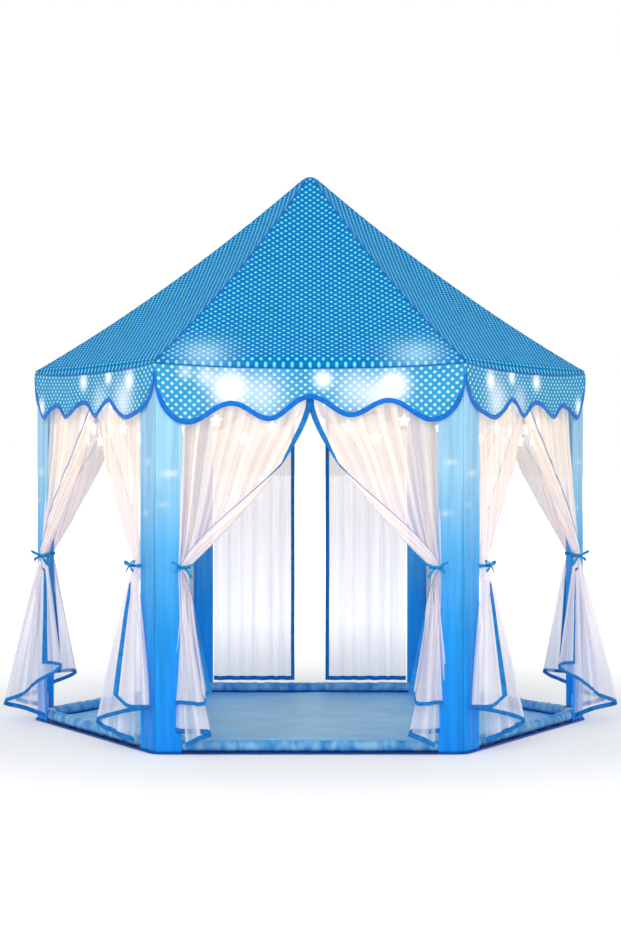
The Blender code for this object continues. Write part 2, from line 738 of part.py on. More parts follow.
def swag(start, end, points):
    """A hanging stretch of cable between two supports, without its last point."""
    made = []
    for number in range(points):
        share = number / points
        point = start.lerp(end, share)
        point.z -= SWAG_DIP * 4 * share * (1 - share)
        made.append(point)
    return made


def cable_supports():
    """Where the cable is tied: under each roof pole and inside the middle of each lit eave tube."""
    clear = CABLE_DIAMETER / 2 + FIT_GAP
    under = (TUBE_RADIUS + clear) * math.sqrt(1 + EAVE_SLOPE ** 2) + SEAM_WIDTH
    pole_height = hip_height(CABLE_SUPPORT_RADIUS) - under
    first = FACES.index(UNLIT_FACE) + 1
    supports = []
    for step in range(SIDES):
        number = (first + step) % SIDES
        angle = FIRST_CORNER + number * STEP
        spoke = Vector((math.cos(angle), math.sin(angle), 0))
        supports.append(spoke * CABLE_SUPPORT_RADIUS + Vector((0, 0, pole_height)))
        if step < SIDES - 1:
            turn = Matrix.Rotation(number * STEP, 4, "Z")
            supports.append(turn @ Vector((0, -FRAME_FLAT + TUBE_RADIUS + clear, FRAME_EAVE)))
    return supports


def box_frame():
    """The battery box's place: inside its leg, with -X towards the leg's outer side."""
    angle = FIRST_CORNER + CORNERS.index(BOX_CORNER) * STEP
    reach = FRAME_CORNER - TUBE_RADIUS - BOX_STANDOFF - BOX_DEPTH / 2
    return Matrix.Rotation(angle, 4, "Z") @ Matrix.Translation((reach, 0, BOX_CENTRE_HEIGHT))


def make_lights(parts, helpers, wire, case, button):
    """The cable with its stars, its battery box clipped to a leg, and the box's slide switch."""
    supports = cable_supports()
    place = box_frame()
    outlet = place @ Vector((0, 0, BOX_HEIGHT / 2 + FIT_GAP))
    lead = place @ Vector((0, 0, BOX_HEIGHT / 2 + CABLE_TAIL))
    route = [outlet, lead, lead.lerp(supports[0], CABLE_LEAD_SHARE) + Vector((0, 0, CABLE_TAIL))]
    for start, end in zip(supports, supports[1:]):
        route.extend(swag(start, end, SWAG_POINTS))
    route.append(supports[-1])
    curve = bpy.data.curves.new("light_string", "CURVE")
    curve.dimensions = "3D"
    curve.bevel_depth = CABLE_DIAMETER / 2
    curve.bevel_resolution = 2
    curve.use_fill_caps = True
    spline = curve.splines.new("POLY")
    spline.points.add(len(route) - 1)
    for point, position in zip(spline.points, route):
        point.co = (*position, 1)
    cable = curve_to_mesh(add("light_string", curve, helpers), helpers)
    stars = [
        star_on(route, len(route) - 1 - swags * SWAG_POINTS + place_on, helpers)
        for swags in range(1, len(supports))
        for place_on in STAR_PLACES
    ]
    combine(cable, stars, "UNION")
    mesh = baked(cable, name="light_string")
    remove(stars)
    add("light_string", mesh, parts, wire)
    make_battery_box(place, parts, helpers, case)
    make_switch(place, parts, button)


def star_on(route, number, helpers):
    """A moulded star threaded on the cable by its top point, flat to the cable's run."""
    points = []
    for corner in range(2 * STAR_POINTS):
        angle = math.pi / 2 + corner * math.pi / STAR_POINTS
        radius = STAR_RADIUS * (STAR_WAIST_SHARE if corner % 2 else 1)
        points.append((radius * math.cos(angle), radius * math.sin(angle)))
    star = curve_to_mesh(outline_curve("star", points, STAR_THICKNESS / 2, helpers), helpers)
    along = route[number + 1] - route[number - 1]
    upright = Matrix.Rotation(math.pi / 2, 4, "X")
    facing = Matrix.Rotation(math.atan2(along.y, along.x), 4, "Z")
    centre = route[number] - Vector((0, 0, STAR_HANG))
    star.matrix_world = Matrix.Translation(centre) @ facing @ upright
    return star


def switch_centre():
    """The knob's centre in the box's frame: low on the side that faces into the tent."""
    return Vector((-(BOX_DEPTH / 2 + SWITCH_PROUD - SWITCH_DEPTH / 2), 0, -BOX_HEIGHT / 4))


def make_battery_box(place, parts, helpers, case):
    """A case for two cells, with a clip that grips the leg and a slot for the switch."""
    shell = block("battery_box", (BOX_DEPTH, BOX_WIDTH, BOX_HEIGHT), (0, 0, 0), parts)
    edges = shell.modifiers.new("edges", "BEVEL")
    edges.width = BOX_EDGE
    edges.segments = 2
    clip_centre = Vector((BOX_DEPTH / 2 + CLIP_REACH / 2 - BOX_EDGE, 0, 0))
    clip = block("clip", (CLIP_REACH + BOX_EDGE, CLIP_WIDTH, CLIP_HEIGHT), clip_centre, helpers)
    leg_x = BOX_DEPTH / 2 + BOX_STANDOFF + TUBE_RADIUS
    tall = Vector((0, 0, CLIP_HEIGHT / 2 + CUT_OVERRUN))
    grip = Vector((leg_x, 0, 0))
    channel = cylinder("channel", BORE_RADIUS, grip - tall, grip + tall, helpers, 2 * TUBE_FACETS)
    knob = switch_centre()
    slot_height = SWITCH_HEIGHT + SWITCH_TRAVEL + 2 * SWITCH_GAP
    slot_width = SWITCH_WIDTH + 2 * SWITCH_GAP
    slot_centre = Vector((knob.x + SWITCH_GAP / 2, 0, knob.z + SWITCH_TRAVEL / 2))
    slot = block("slot", (SWITCH_DEPTH + SWITCH_GAP, slot_width, slot_height), slot_centre, helpers)
    combine(shell, [clip], "UNION")
    combine(shell, [channel, slot], "DIFFERENCE")
    mesh = baked(shell, name="battery_box")
    remove([clip, channel, slot])
    add("battery_box", mesh, parts, case).matrix_world = place


def make_switch(place, parts, button):
    knob = block("battery_switch", (SWITCH_DEPTH, SWITCH_WIDTH, SWITCH_HEIGHT), (0, 0, 0), parts)
    knob.data.materials.append(button)
    knob.matrix_world = place @ Matrix.Translation(switch_centre())


def main():
    clear_scene()
    parts = collection("play_tent")
    helpers = collection("helpers")
    helpers.hide_render = True
    polka = finish("polka_dot_polyester", (0.02, 0.22, 0.62), 0.55)
    satin = finish("blue_taffeta", (0.05, 0.32, 0.90), 0.40)
    mat = finish("light_blue_taffeta", (0.16, 0.42, 0.78), 0.45)
    voile = finish("white_voile", (0.92, 0.90, 0.93), 0.70, alpha=0.6)
    plastic = finish("white_connector_plastic", (0.82, 0.83, 0.85), 0.35)
    tube = finish("white_tube_plastic", (0.85, 0.86, 0.88), 0.35)
    wire = finish("clear_cable", (0.80, 0.80, 0.78), 0.30)
    case = finish("white_battery_case", (0.86, 0.86, 0.86), 0.40)
    button = finish("black_switch", (0.03, 0.03, 0.03), 0.45)
    make_frame(parts, helpers, plastic, tube)
    make_cover(parts, helpers, polka)
    make_sleeves(parts, satin)
    make_mat(parts, helpers, mat)
    make_curtains(parts, helpers, voile)
    make_lights(parts, helpers, wire, case, button)


main()
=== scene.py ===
"""The visual model of a six-sided play tent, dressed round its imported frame.

Metres, +Z up, and the front doorway faces -Y. The sections follow the tent as it is put together.
"""

import math

import bmesh
import bpy
from mathutils import Matrix, Vector, noise


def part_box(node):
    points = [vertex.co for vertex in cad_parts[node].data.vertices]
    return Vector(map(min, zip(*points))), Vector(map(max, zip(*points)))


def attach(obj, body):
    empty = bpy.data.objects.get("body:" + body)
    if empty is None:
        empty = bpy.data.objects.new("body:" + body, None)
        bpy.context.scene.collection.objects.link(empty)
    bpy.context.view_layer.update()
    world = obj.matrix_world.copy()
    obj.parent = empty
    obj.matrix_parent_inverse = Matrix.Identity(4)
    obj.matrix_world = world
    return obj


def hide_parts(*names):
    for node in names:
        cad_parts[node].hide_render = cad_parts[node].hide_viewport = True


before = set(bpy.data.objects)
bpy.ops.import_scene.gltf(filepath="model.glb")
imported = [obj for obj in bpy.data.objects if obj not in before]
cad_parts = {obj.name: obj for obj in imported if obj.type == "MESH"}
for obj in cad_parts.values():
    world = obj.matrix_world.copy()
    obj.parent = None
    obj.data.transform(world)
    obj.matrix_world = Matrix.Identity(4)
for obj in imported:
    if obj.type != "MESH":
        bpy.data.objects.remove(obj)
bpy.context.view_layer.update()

# Camera, floor and light
# A level camera stands five metres off at a child's eye height, as for a catalogue picture. The tent stands
# on a plain pale floor under a bright even sky and three large soft lamps.

CAMERA_DISTANCE = 5.10
CAMERA_HEIGHT = 0.66
CAMERA_LENS = 77.5
HORIZON_SHIFT = -0.0059
SIDE_SHIFT = 0.0005
FLOOR_SIZE = 160.0
FLOOR_GAP = 0.0004
FLOOR_LIFT_NEAR, FLOOR_LIFT_FAR = 0.16, 0.80
FLOOR_FADE_START, FLOOR_FADE_END = 0.9, 3.2
SKY_LEVEL = 0.60
# Each lamp's place, width and power
LAMPS = (((-1.5, -4.6, 3.2), 2.4, 62.0), ((2.0, -4.2, 2.4), 2.0, 26.0), ((0.0, 3.5, 3.0), 2.4, 16.0))
UP = Vector((0, 0, 1))


def wire(node, feeds):
    """Feeds a node's inputs, by name or number: values, or what another node or one of its sockets gives."""
    for key, feed in feeds.items():
        if isinstance(feed, bpy.types.Node):
            feed = feed.outputs[0]
        if isinstance(feed, bpy.types.NodeSocket):
            node.id_data.links.new(feed, node.inputs[key])
        elif feed is not None:
            node.inputs[key].default_value = (*feed, 1) if node.inputs[key].type == "RGBA" else feed
    return node


def put(tree, kind, *feeds, **settings):
    """A shader node with its settings, and its inputs fed in order; None leaves an input as it is."""
    made = tree.nodes.new("ShaderNode" + kind)
    for name, value in settings.items():
        setattr(made, name, value)
    return wire(made, dict(enumerate(feeds)))


def object_place(tree):
    return put(tree, "TexCoord").outputs["Object"]


def seen_directly(tree):
    """1 for what the camera, a gloss or a clear piece sees, and 0 for what lights the tent."""
    path = put(tree, "LightPath").outputs
    seen = put(tree, "Math", path["Is Camera Ray"], path["Is Glossy Ray"], operation="MAXIMUM")
    return put(tree, "Math", seen, path["Is Transmission Ray"], operation="MAXIMUM")


def new_finish(name, colour, roughness, specular=None):
    """A named finish with one Principled shader: the material, its node tree and the shader."""
    made = bpy.data.materials.new(name)
    made.use_nodes = True
    shader = made.node_tree.nodes["Principled BSDF"]
    wire(shader, {"Base Color": colour, "Roughness": roughness, "Specular IOR Level": specular})
    return made, made.node_tree, shader


def shown(name, data, finish=None):
    """An object at the origin for a mesh whose place is in its vertices, or for other data."""
    made = bpy.data.objects.new(name, data)
    scene.collection.objects.link(made)
    if finish:
        data.materials.clear()
        data.materials.append(finish)
    return made


def from_work(name, work, smooth=True):
    """The mesh of a shape that was being worked on."""
    mesh = bpy.data.meshes.new(name)
    work.to_mesh(mesh)
    work.free()
    if smooth:
        mesh.shade_smooth()
    return mesh


scene = bpy.context.scene
scene.view_settings.view_transform = "Standard"
camera = shown("camera", bpy.data.cameras.new("camera"))
scene.camera = camera
camera.location = (0, -CAMERA_DISTANCE, CAMERA_HEIGHT)
camera.rotation_euler = (math.pi / 2, 0, 0)
camera.data.lens = CAMERA_LENS
camera.data.shift_x = SIDE_SHIFT
camera.data.shift_y = HORIZON_SHIFT

sky = bpy.data.worlds.new("sky")
scene.world = sky
sky.use_nodes = True
level = put(sky.node_tree, "MapRange", seen_directly(sky.node_tree), 0.0, 1.0, SKY_LEVEL, 1.0)
wire(sky.node_tree.nodes["Background"], {"Color": (1, 1, 1), "Strength": level})

for number, (place, width, power) in enumerate(LAMPS):
    lamp = shown(f"lamp_{number}", bpy.data.lights.new(f"lamp_{number}", "AREA"))
    lamp.data.size = width
    lamp.data.energy = power
    lamp.location = place
    lamp.rotation_euler = (UP * CAMERA_HEIGHT - Vector(place)).to_track_quat("-Z", "Y").to_euler()

floor_paint, tree, shader = new_finish("floor_paint", (0.94, 0.94, 0.94), 0.9)
away = put(tree, "VectorMath", object_place(tree), operation="LENGTH").outputs["Value"]
fade = put(tree, "MapRange", away, FLOOR_FADE_START, FLOOR_FADE_END, FLOOR_LIFT_NEAR, FLOOR_LIFT_FAR)
lift = put(tree, "Math", seen_directly(tree), fade, operation="MULTIPLY")
wire(shader, {"Emission Color": (1, 1, 1), "Emission Strength": lift})
work = bmesh.new()
bmesh.ops.create_grid(work, x_segments=1, y_segments=1, size=FLOOR_SIZE / 2)
studio_floor = shown("studio_floor", from_work("studio_floor", work, smooth=False), floor_paint)
studio_floor.location.z = -FLOOR_GAP

# String of star lights
# Fifty moulded stars with a warm white lamp in each are threaded on thin clear cable. It leaves the battery
# box, and wire ties hold it in swags under the roof poles and the middles of all eave tubes but the back one.

SIDES = 6
STEP = math.tau / SIDES
HALF_COS = math.cos(STEP / 2)
FIRST_CORNER = -math.pi / 2 - STEP / 2
CORNERS = ("front_left", "front_right", "right", "back_right", "back_left", "left")
FACES = ("front", "front_right", "back_right", "back", "back_left", "front_left")
BACK = FACES.index("back")
FRAME_CORNER = sum(corner.x for corner in map(Vector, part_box("leg_right"))) / 2
FRAME_FLAT = FRAME_CORNER * HALF_COS
EAVE_TUBE_HEIGHT = sum(corner.z for corner in map(Vector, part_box("eave_tube_front"))) / 2
CABLE_DIAMETER = 0.0022
POLE_TIE_RADIUS = 0.60006
POLE_TIE_HEIGHT = 0.91026
RAIL_TIE_FLAT = 0.57632
SWAG_DIP = 0.175
SWAG_STEPS = 7
CURVE_STEPS = 4
BOX_OUTLET = Vector((-0.32828, 0.56860, 0.79290))
CABLE_TAIL = 0.0117
CABLE_LEAD_SHARE = 0.55
CABLE_LEAD_RISE = 0.012
STAR_PLACES = (0.9, 2.0, 3.5, 5.0, 6.1)
STAR_HANG = 0.0085
STAR_POINTS = 5
STAR_RADIUS = 0.0160
STAR_WAIST_SHARE = 0.50
STAR_HALF_DEPTH = 0.0034
# A star's outlines from the rim inwards, as shares of its radius and of its half depth
STAR_RINGS = ((1.0, 0.30), (0.86, 0.62), (0.45, 0.96))
STAR_EDGE_SHARE = 0.12
STAR_GLOW = 2.4
TIE_LOOP_RADIUS = 0.0026
TIE_WIRE_RADIUS = 0.0007
TIE_LOOP_STEPS, TIE_WIRE_STEPS = 24, 6


def shaded(tree, colour, shade):
    """A colour made lighter or darker by a number."""
    return put(tree, "VectorMath", colour, None, None, shade, operation="SCALE")


def bumped(tree, height, distance, strength, under=None):
    """A bump from a height, over another bump if one is given."""
    feeds = {"Strength": strength, "Distance": distance, "Height": height, "Normal": under}
    return wire(put(tree, "Bump"), feeds)


def toned(tree, share, start, end, *between):
    """A colour for a share, on a ramp from (position, colour) stops."""
    made = put(tree, "ValToRGB", share)
    stops = made.color_ramp.elements
    for stop, (position, colour) in zip(stops, (start, end)):
        stop.position = position
        stop.color = (*colour, 1)
    for position, colour in between:
        stops.new(position).color = (*colour, 1)
    return made


def moulded_finish(name, colour, roughness, grain_scale, grain_height):
    """Moulded plastic: a fine grain, and a faint cloudiness in its colour and gloss."""
    made, tree, shader = new_finish(name, colour, roughness)
    where = object_place(tree)
    grain = put(tree, "TexNoise", where, None, grain_scale, 3.0)
    clouds = put(tree, "TexNoise", where, None, grain_scale / 40, 2.0)
    tint = shaded(tree, colour, put(tree, "MapRange", clouds, 0.3, 0.7, 0.93, 1.03))
    gloss = put(tree, "MapRange", grain, 0.3, 0.7, roughness * 0.85, roughness * 1.2)
    wire(shader, {"Base Color": tint, "Roughness": gloss, "Normal": bumped(tree, grain, grain_height, 0.5)})
    return made


def worked_out(carrier):
    """The mesh that an object has after its modifiers; the object itself goes."""
    bpy.context.view_layer.update()
    graph = bpy.context.evaluated_depsgraph_get()
    mesh = bpy.data.meshes.new_from_object(carrier.evaluated_get(graph))
    bpy.data.objects.remove(carrier)
    return mesh


def repeated(name, piece, places, turns, finish):
    """A small piece's mesh at each place, turned by its own angles, made one mesh by Geometry Nodes."""
    tree = bpy.data.node_groups.new(name + "_layout", "GeometryNodeTree")
    tree.interface.new_socket("Places", in_out="INPUT", socket_type="NodeSocketGeometry")
    tree.interface.new_socket("Pieces", in_out="OUTPUT", socket_type="NodeSocketGeometry")
    entry = tree.nodes.new("NodeGroupInput")
    shape = wire(tree.nodes.new("GeometryNodeObjectInfo"), {"Object": piece})
    turn = wire(tree.nodes.new("GeometryNodeInputNamedAttribute"), {"Name": "turn"})
    turn.data_type = "FLOAT_VECTOR"
    spin = wire(tree.nodes.new("FunctionNodeEulerToRotation"), {0: turn.outputs["Attribute"]})
    feeds = {"Points": entry, "Instance": shape.outputs["Geometry"], "Rotation": spin}
    lay = wire(tree.nodes.new("GeometryNodeInstanceOnPoints"), feeds)
    solid = wire(tree.nodes.new("GeometryNodeRealizeInstances"), {0: lay})
    coat = wire(tree.nodes.new("GeometryNodeSetMaterial"), {"Geometry": solid, "Material": finish})
    wire(tree.nodes.new("NodeGroupOutput"), {0: coat})
    points = bpy.data.meshes.new(name + "_places")
    points.from_pydata([tuple(place) for place in places], [], [])
    angles = points.attributes.new("turn", "FLOAT_VECTOR", "POINT")
    for value, angle in zip(angles.data, turns):
        value.vector = angle
    carrier = shown(name + "_carrier", points)
    carrier.modifiers.new("layout", "NODES").node_group = tree
    mesh = worked_out(carrier)
    bpy.data.objects.remove(piece)
    if "turn" in mesh.attributes:
        mesh.attributes.remove(mesh.attributes["turn"])
    return shown(name, mesh, finish)


def band(first, second):
    """The faces between two rings of as many points."""
    return zip(first, first[1:] + first[:1], second[1:] + second[:1], second)


def lofted(name, rings, closed=False):
    """A smooth skin over rings of points, which joins its own start or is capped at both ends."""
    work = bmesh.new()
    rings = [[work.verts.new(point) for point in ring] for ring in rings]
    for first, second in zip(rings, rings[1:] + rings[:1] if closed else rings[1:]):
        for face in band(first, second):
            work.faces.new(face)
    if not closed:
        work.faces.new(rings[0][::-1])
        work.faces.new(rings[-1])
    bmesh.ops.recalc_face_normals(work, faces=work.faces)
    return from_work(name, work)


def star_shape():
    """A puffed five-pointed star on the XZ plane, thickest in the middle, with a flat rim."""
    work = bmesh.new()
    outline = []
    for corner in range(2 * STAR_POINTS):
        angle = math.pi / 2 + corner * math.pi / STAR_POINTS
        reach = STAR_RADIUS * (STAR_WAIST_SHARE if corner % 2 else 1)
        outline.append(Vector((math.cos(angle), 0, math.sin(angle))) * reach)
    sides = {1: [], -1: []}
    for size, depth in STAR_RINGS:
        for side, rings in sides.items():
            aside = Vector((0, side * depth * STAR_HALF_DEPTH, 0))
            rings.append([work.verts.new(place * size + aside) for place in outline])
    back, front = sides.values()
    for first, second in (*zip(front, front[1:]), (back[0], front[0]), *zip(back[1:], back)):
        for face in band(first, second):
            work.faces.new(face)
    for side, ring in ((-1, front[-1]), (1, back[-1])):
        tip = work.verts.new((0, side * STAR_HALF_DEPTH, 0))
        for corner, following in zip(ring, ring[1:] + ring[:1]):
            work.faces.new((corner, following, tip))
    bmesh.ops.recalc_face_normals(work, faces=work.faces)
    rounding = STAR_HALF_DEPTH * STAR_EDGE_SHARE
    bmesh.ops.bevel(work, geom=work.edges, offset=rounding, segments=1, profile=0.5, affect="EDGES")
    return shown("star", from_work("star", work))


def spoke(angle):
    return Vector((math.cos(angle), math.sin(angle), 0))


def side_turn(number):
    """The turn from the front side to another one."""
    return Matrix.Rotation(number * STEP, 4, "Z")


def swag_spot(start, end, step):
    """A point of the cable's swag between two supports."""
    share = step / SWAG_STEPS
    return start.lerp(end, share) - UP * (SWAG_DIP * 4 * share * (1 - share))


def hermite(start, end, lead_in, lead_out, t):
    """A place on the smooth line that leaves start by one lead and arrives at end by the other."""
    return (
        start * (2 * t ** 3 - 3 * t ** 2 + 1) + lead_in * (t ** 3 - 2 * t ** 2 + t)
        + end * (3 * t ** 2 - 2 * t ** 3) + lead_out * (t ** 3 - t ** 2)
    )


supports = []
for step in range(SIDES):
    number = (BACK + 1 + step) % SIDES
    supports.append(spoke(FIRST_CORNER + number * STEP) * POLE_TIE_RADIUS + UP * POLE_TIE_HEIGHT)
    if step < SIDES - 1:
        supports.append(side_turn(number) @ Vector((0, -RAIL_TIE_FLAT, EAVE_TUBE_HEIGHT)))
box_lead = BOX_OUTLET + UP * CABLE_TAIL
route = [BOX_OUTLET, box_lead, box_lead.lerp(supports[0], CABLE_LEAD_SHARE) + UP * CABLE_LEAD_RISE]
first_tie = len(route)
star_places, star_turns = [], []
for start, end in zip(supports, supports[1:]):
    route.extend(swag_spot(start, end, step) for step in range(SWAG_STEPS))
    star_places.extend(swag_spot(start, end, step) - UP * STAR_HANG for step in STAR_PLACES)
    star_turns.extend([(0, 0, math.atan2(end.y - start.y, end.x - start.x))] * len(STAR_PLACES))
route.append(supports[-1])

ties = range(first_tie, len(route), SWAG_STEPS)
fine = []
for index, (here, there) in enumerate(zip(route, route[1:])):
    before, after = route[max(index - 1, 0)], route[min(index + 2, len(route) - 1)]
    lead_in = there - here if index in ties else (there - before) / 2
    lead_out = there - here if index + 1 in ties else (after - here) / 2
    fine.extend(hermite(here, there, lead_in, lead_out, step / CURVE_STEPS) for step in range(CURVE_STEPS))
fine.append(route[-1])
cable_curve = bpy.data.curves.new("light_cable", "CURVE")
cable_curve.dimensions = "3D"
cable_curve.bevel_depth = CABLE_DIAMETER / 2
cable_curve.bevel_resolution = 3
cable_curve.use_fill_caps = True
line = cable_curve.splines.new("POLY")
line.points.add(len(fine) - 1)
for point, place in zip(line.points, fine):
    point.co = (*place, 1)
clear_finish = moulded_finish("clear_cable", (0.86, 0.84, 0.78), 0.28, 900.0, 0.00005)
cable = shown("light_cable", cable_curve, clear_finish)
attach(cable, "root")
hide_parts("light_string")

lamp_glow, tree, shader = new_finish("warm_star_lamp", (1.0, 0.96, 0.88), 0.35)
centre_light = put(tree, "TexNoise", object_place(tree), None, 160.0, 1.0)
warmth = toned(tree, centre_light, (0.3, (1.0, 0.86, 0.62)), (0.6, (1.0, 0.96, 0.86)))
wire(shader, {"Emission Color": warmth, "Emission Strength": STAR_GLOW})
stars = repeated("star_lights", star_shape(), star_places, star_turns, lamp_glow)
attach(stars, "root")
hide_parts("light_string")

wire_loop = []
for turn in range(TIE_LOOP_STEPS):
    around = turn / TIE_LOOP_STEPS * math.tau
    centre = Vector((0, math.cos(around), math.sin(around))) * (TIE_LOOP_RADIUS + TIE_WIRE_RADIUS)
    tilts = [corner / TIE_WIRE_STEPS * math.tau for corner in range(TIE_WIRE_STEPS)]
    out, across = centre.normalized(), Vector((1, 0, 0))
    wire_loop.append(
        [centre + (out * math.cos(tilt) + across * math.sin(tilt)) * TIE_WIRE_RADIUS for tilt in tilts]
    )
tie_finish = moulded_finish("white_wire_tie", (0.88, 0.88, 0.86), 0.45, 1200.0, 0.00004)
wire_ties = repeated(
    "cable_ties", shown("wire_tie", lofted("wire_tie", wire_loop, closed=True)), supports,
    [(0, 0, math.atan2(place.y, place.x) + math.pi / 2) for place in supports], tie_finish,
)
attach(wire_ties, "root")

# Frame
# Push-together tubes of white extruded plastic stand in moulded sockets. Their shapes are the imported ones,
# and get the faint draw lines of extruded tube and the fine grain of a moulding.

DRAW_LINES = (1.0, 1.0, 0.04)

tube_finish, tree, shader = new_finish("extruded_tube", (0.86, 0.87, 0.89), 0.30)
where = object_place(tree)
draw_lines = put(tree, "TexNoise", put(tree, "Mapping", where, None, None, DRAW_LINES), None, 900.0, 2.0)
scuffs = put(tree, "TexNoise", where, None, 26.0, 4.0)
shade = put(tree, "MapRange", scuffs, 0.35, 0.7, 0.80, 0.90)
wire(shader, {
    "Base Color": put(tree, "CombineColor", shade, shade, shade),
    "Roughness": put(tree, "MapRange", scuffs, 0.3, 0.7, 0.24, 0.42),
    "Normal": bumped(tree, draw_lines, 0.0001, 0.25),
})
socket_finish = moulded_finish("moulded_socket", (0.80, 0.81, 0.84), 0.38, 1400.0, 0.00006)
case_finish = moulded_finish("battery_case", (0.84, 0.84, 0.83), 0.42, 1600.0, 0.00008)
knob_finish = moulded_finish("switch_knob", (0.03, 0.03, 0.03), 0.45, 1800.0, 0.00008)
FRAME_FINISHES = (
    (("leg_", "roof_pole_", "eave_tube_", "base_tube_"), tube_finish),
    (("base_connector_", "eave_connector_", "roof_hub"), socket_finish),
    (("battery_box",), case_finish),
    (("battery_switch",), knob_finish),
)
for name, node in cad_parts.items():
    for starts, finish in FRAME_FINISHES:
        if name.startswith(starts):
            node.data.materials.clear()
            node.data.materials.append(finish)

# Battery box lid
# The box that feeds the lights has a thin lid on the side that faces into the tent. The lid is a plain
# moulding, which a steel screw holds on the case above the switch.

LID_HALF_WIDTH = 0.0135
LID_HALF_HEIGHT = 0.0150
LID_THICKNESS = 0.0009
LID_LIFT = 0.0112
LID_RISE = 0.008
SCREW_RADIUS = 0.0024
SCREW_HEAD = 0.0009
SCREW_RISE = 0.018
BOX_CENTRE = Vector((-0.32828, 0.56860, 0.75960))

box_angle = FIRST_CORNER + CORNERS.index("back_left") * STEP
box_turn = Matrix.Translation(BOX_CENTRE) @ Matrix.Rotation(box_angle, 4, "Z")
work = bmesh.new()
lid_place = Matrix.Translation((-LID_LIFT + LID_THICKNESS / 2, 0, LID_RISE))
lid_size = Matrix.Diagonal((LID_THICKNESS, LID_HALF_WIDTH, LID_HALF_HEIGHT, 1))
bmesh.ops.create_cube(work, size=2.0, matrix=lid_place @ lid_size)
rounding = LID_THICKNESS * 0.6
bmesh.ops.bevel(work, geom=work.edges[:], offset=rounding, segments=2, profile=0.5, affect="EDGES")
work.transform(box_turn)
lid = shown("battery_lid", from_work("battery_lid", work, smooth=False), case_finish)
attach(lid, "root")

work = bmesh.new()
screw_place = Matrix.Translation((-LID_LIFT - LID_THICKNESS / 2 - SCREW_HEAD / 2, 0, SCREW_RISE))
bmesh.ops.create_cone(
    work, cap_ends=True, segments=24, radius1=SCREW_RADIUS, radius2=SCREW_RADIUS * 0.8, depth=SCREW_HEAD,
    matrix=screw_place @ Matrix.Rotation(-math.pi / 2, 4, "Y"),
)
work.transform(box_turn)
steel, tree, shader = new_finish("plated_steel", (0.62, 0.62, 0.64), 0.28)
scratch = put(tree, "TexNoise", object_place(tree), None, 2400.0, 3.0)
wire(shader, {"Metallic": 1.0, "Roughness": put(tree, "MapRange", scratch, 0.3, 0.7, 0.2, 0.4)})
screw = shown("lid_screw", from_work("lid_screw", work, smooth=False), steel)
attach(screw, "root")

# Roof cover
# Six gores of thin dotted polyester are sewn together along the hips, which lie over the bent poles, and sag
# a little between them. A narrow felled seam runs down each hip, and the cover turns down at the eave.

ACROSS_CORNERS = 1.400
HALF_SIDE = ACROSS_CORNERS / 4
PEAK_HEIGHT = 1.380
PEAK_LINE_HEIGHT = 1.389
PEAK_BLUNT_RADIUS = 0.0208
MEAN_SLOPE = 0.726345
HIP_SAG = 0.0235
EAVE_HEIGHT = 0.8836
COVER_FLAT = ACROSS_CORNERS / 2 * HALF_COS
GORE_LENGTH = math.hypot(COVER_FLAT, PEAK_HEIGHT - EAVE_HEIGHT)
GORE_SAG = 0.0065
GORE_ROWS = 110
GORE_COLUMNS = 48
DRAG_SAG = 0.0018
PUCKER_PITCH = 0.0042
PUCKER_REACH = 0.014
PUCKER_RISE = 0.0007
EAVE_DIP_CORNER = 0.005
EAVE_DIP_MIDDLE = 0.018
EAVE_FOLD_SHARE = 0.040
CLOTH_SKIN = 0.0008
WELD = 0.00005
DOT_PITCH = 0.020
DOT_RADIUS = 0.0037
THREAD = 0.0006
HIP_SEAM_WIDTH = 0.0050
HIP_SEAM_RISE = 0.0012
HIP_SEAM_PUCKER = 0.0003
SEAM_STEPS = 120
SEAM_START, SEAM_END_GAP = 0.012, 0.001
EAVE_SEAM_SHARE = 0.985
EAVE_SEAM_SIZE = 0.55
EAVE_SEAM_LIFT = 0.0006
# The lamps behind the roof's eave: how far along a side, in from it and over it, how far they spread, and
# how brightly they shine
LIGHT_ALONG, LIGHT_IN, LIGHT_OVER, LIGHT_REACH, LIGHT_POWER = 0.24, 0.030, 0.012, 0.055, 0.38


def eave_dip(share):
    """How far the sewn eave edge sinks under its corners' level, from -1 to 1 along a side."""
    return EAVE_DIP_CORNER + (EAVE_DIP_MIDDLE - EAVE_DIP_CORNER) * (1 - abs(share) ** 2.5)


def cover_height(radius):
    """Height of the cover's outer face over a hip, at a distance from the tent's axis."""
    share = radius / FRAME_CORNER
    height = PEAK_LINE_HEIGHT - MEAN_SLOPE * radius - 4 * HIP_SAG * share * (1 - share)
    if radius < PEAK_BLUNT_RADIUS:
        slope = MEAN_SLOPE + 4 * HIP_SAG / FRAME_CORNER
        height = PEAK_HEIGHT - slope / (2 * PEAK_BLUNT_RADIUS) * radius ** 2
    return height


def on_face(number, along, out, height):
    """A point given along a side to its right, out from the tent's axis, and up."""
    return side_turn(number) @ Vector((along, -out, height))


def ripple_at(x, y, z):
    """Smooth noise at a place, from about -1 to 1."""
    return noise.noise(Vector((x, y, z)))


def mark(mesh, name, values):
    """Gives each vertex of a mesh its own number, under a name that the finishes read."""
    mesh.attributes.new(name, "FLOAT", "POINT").data.foreach_set("value", values)


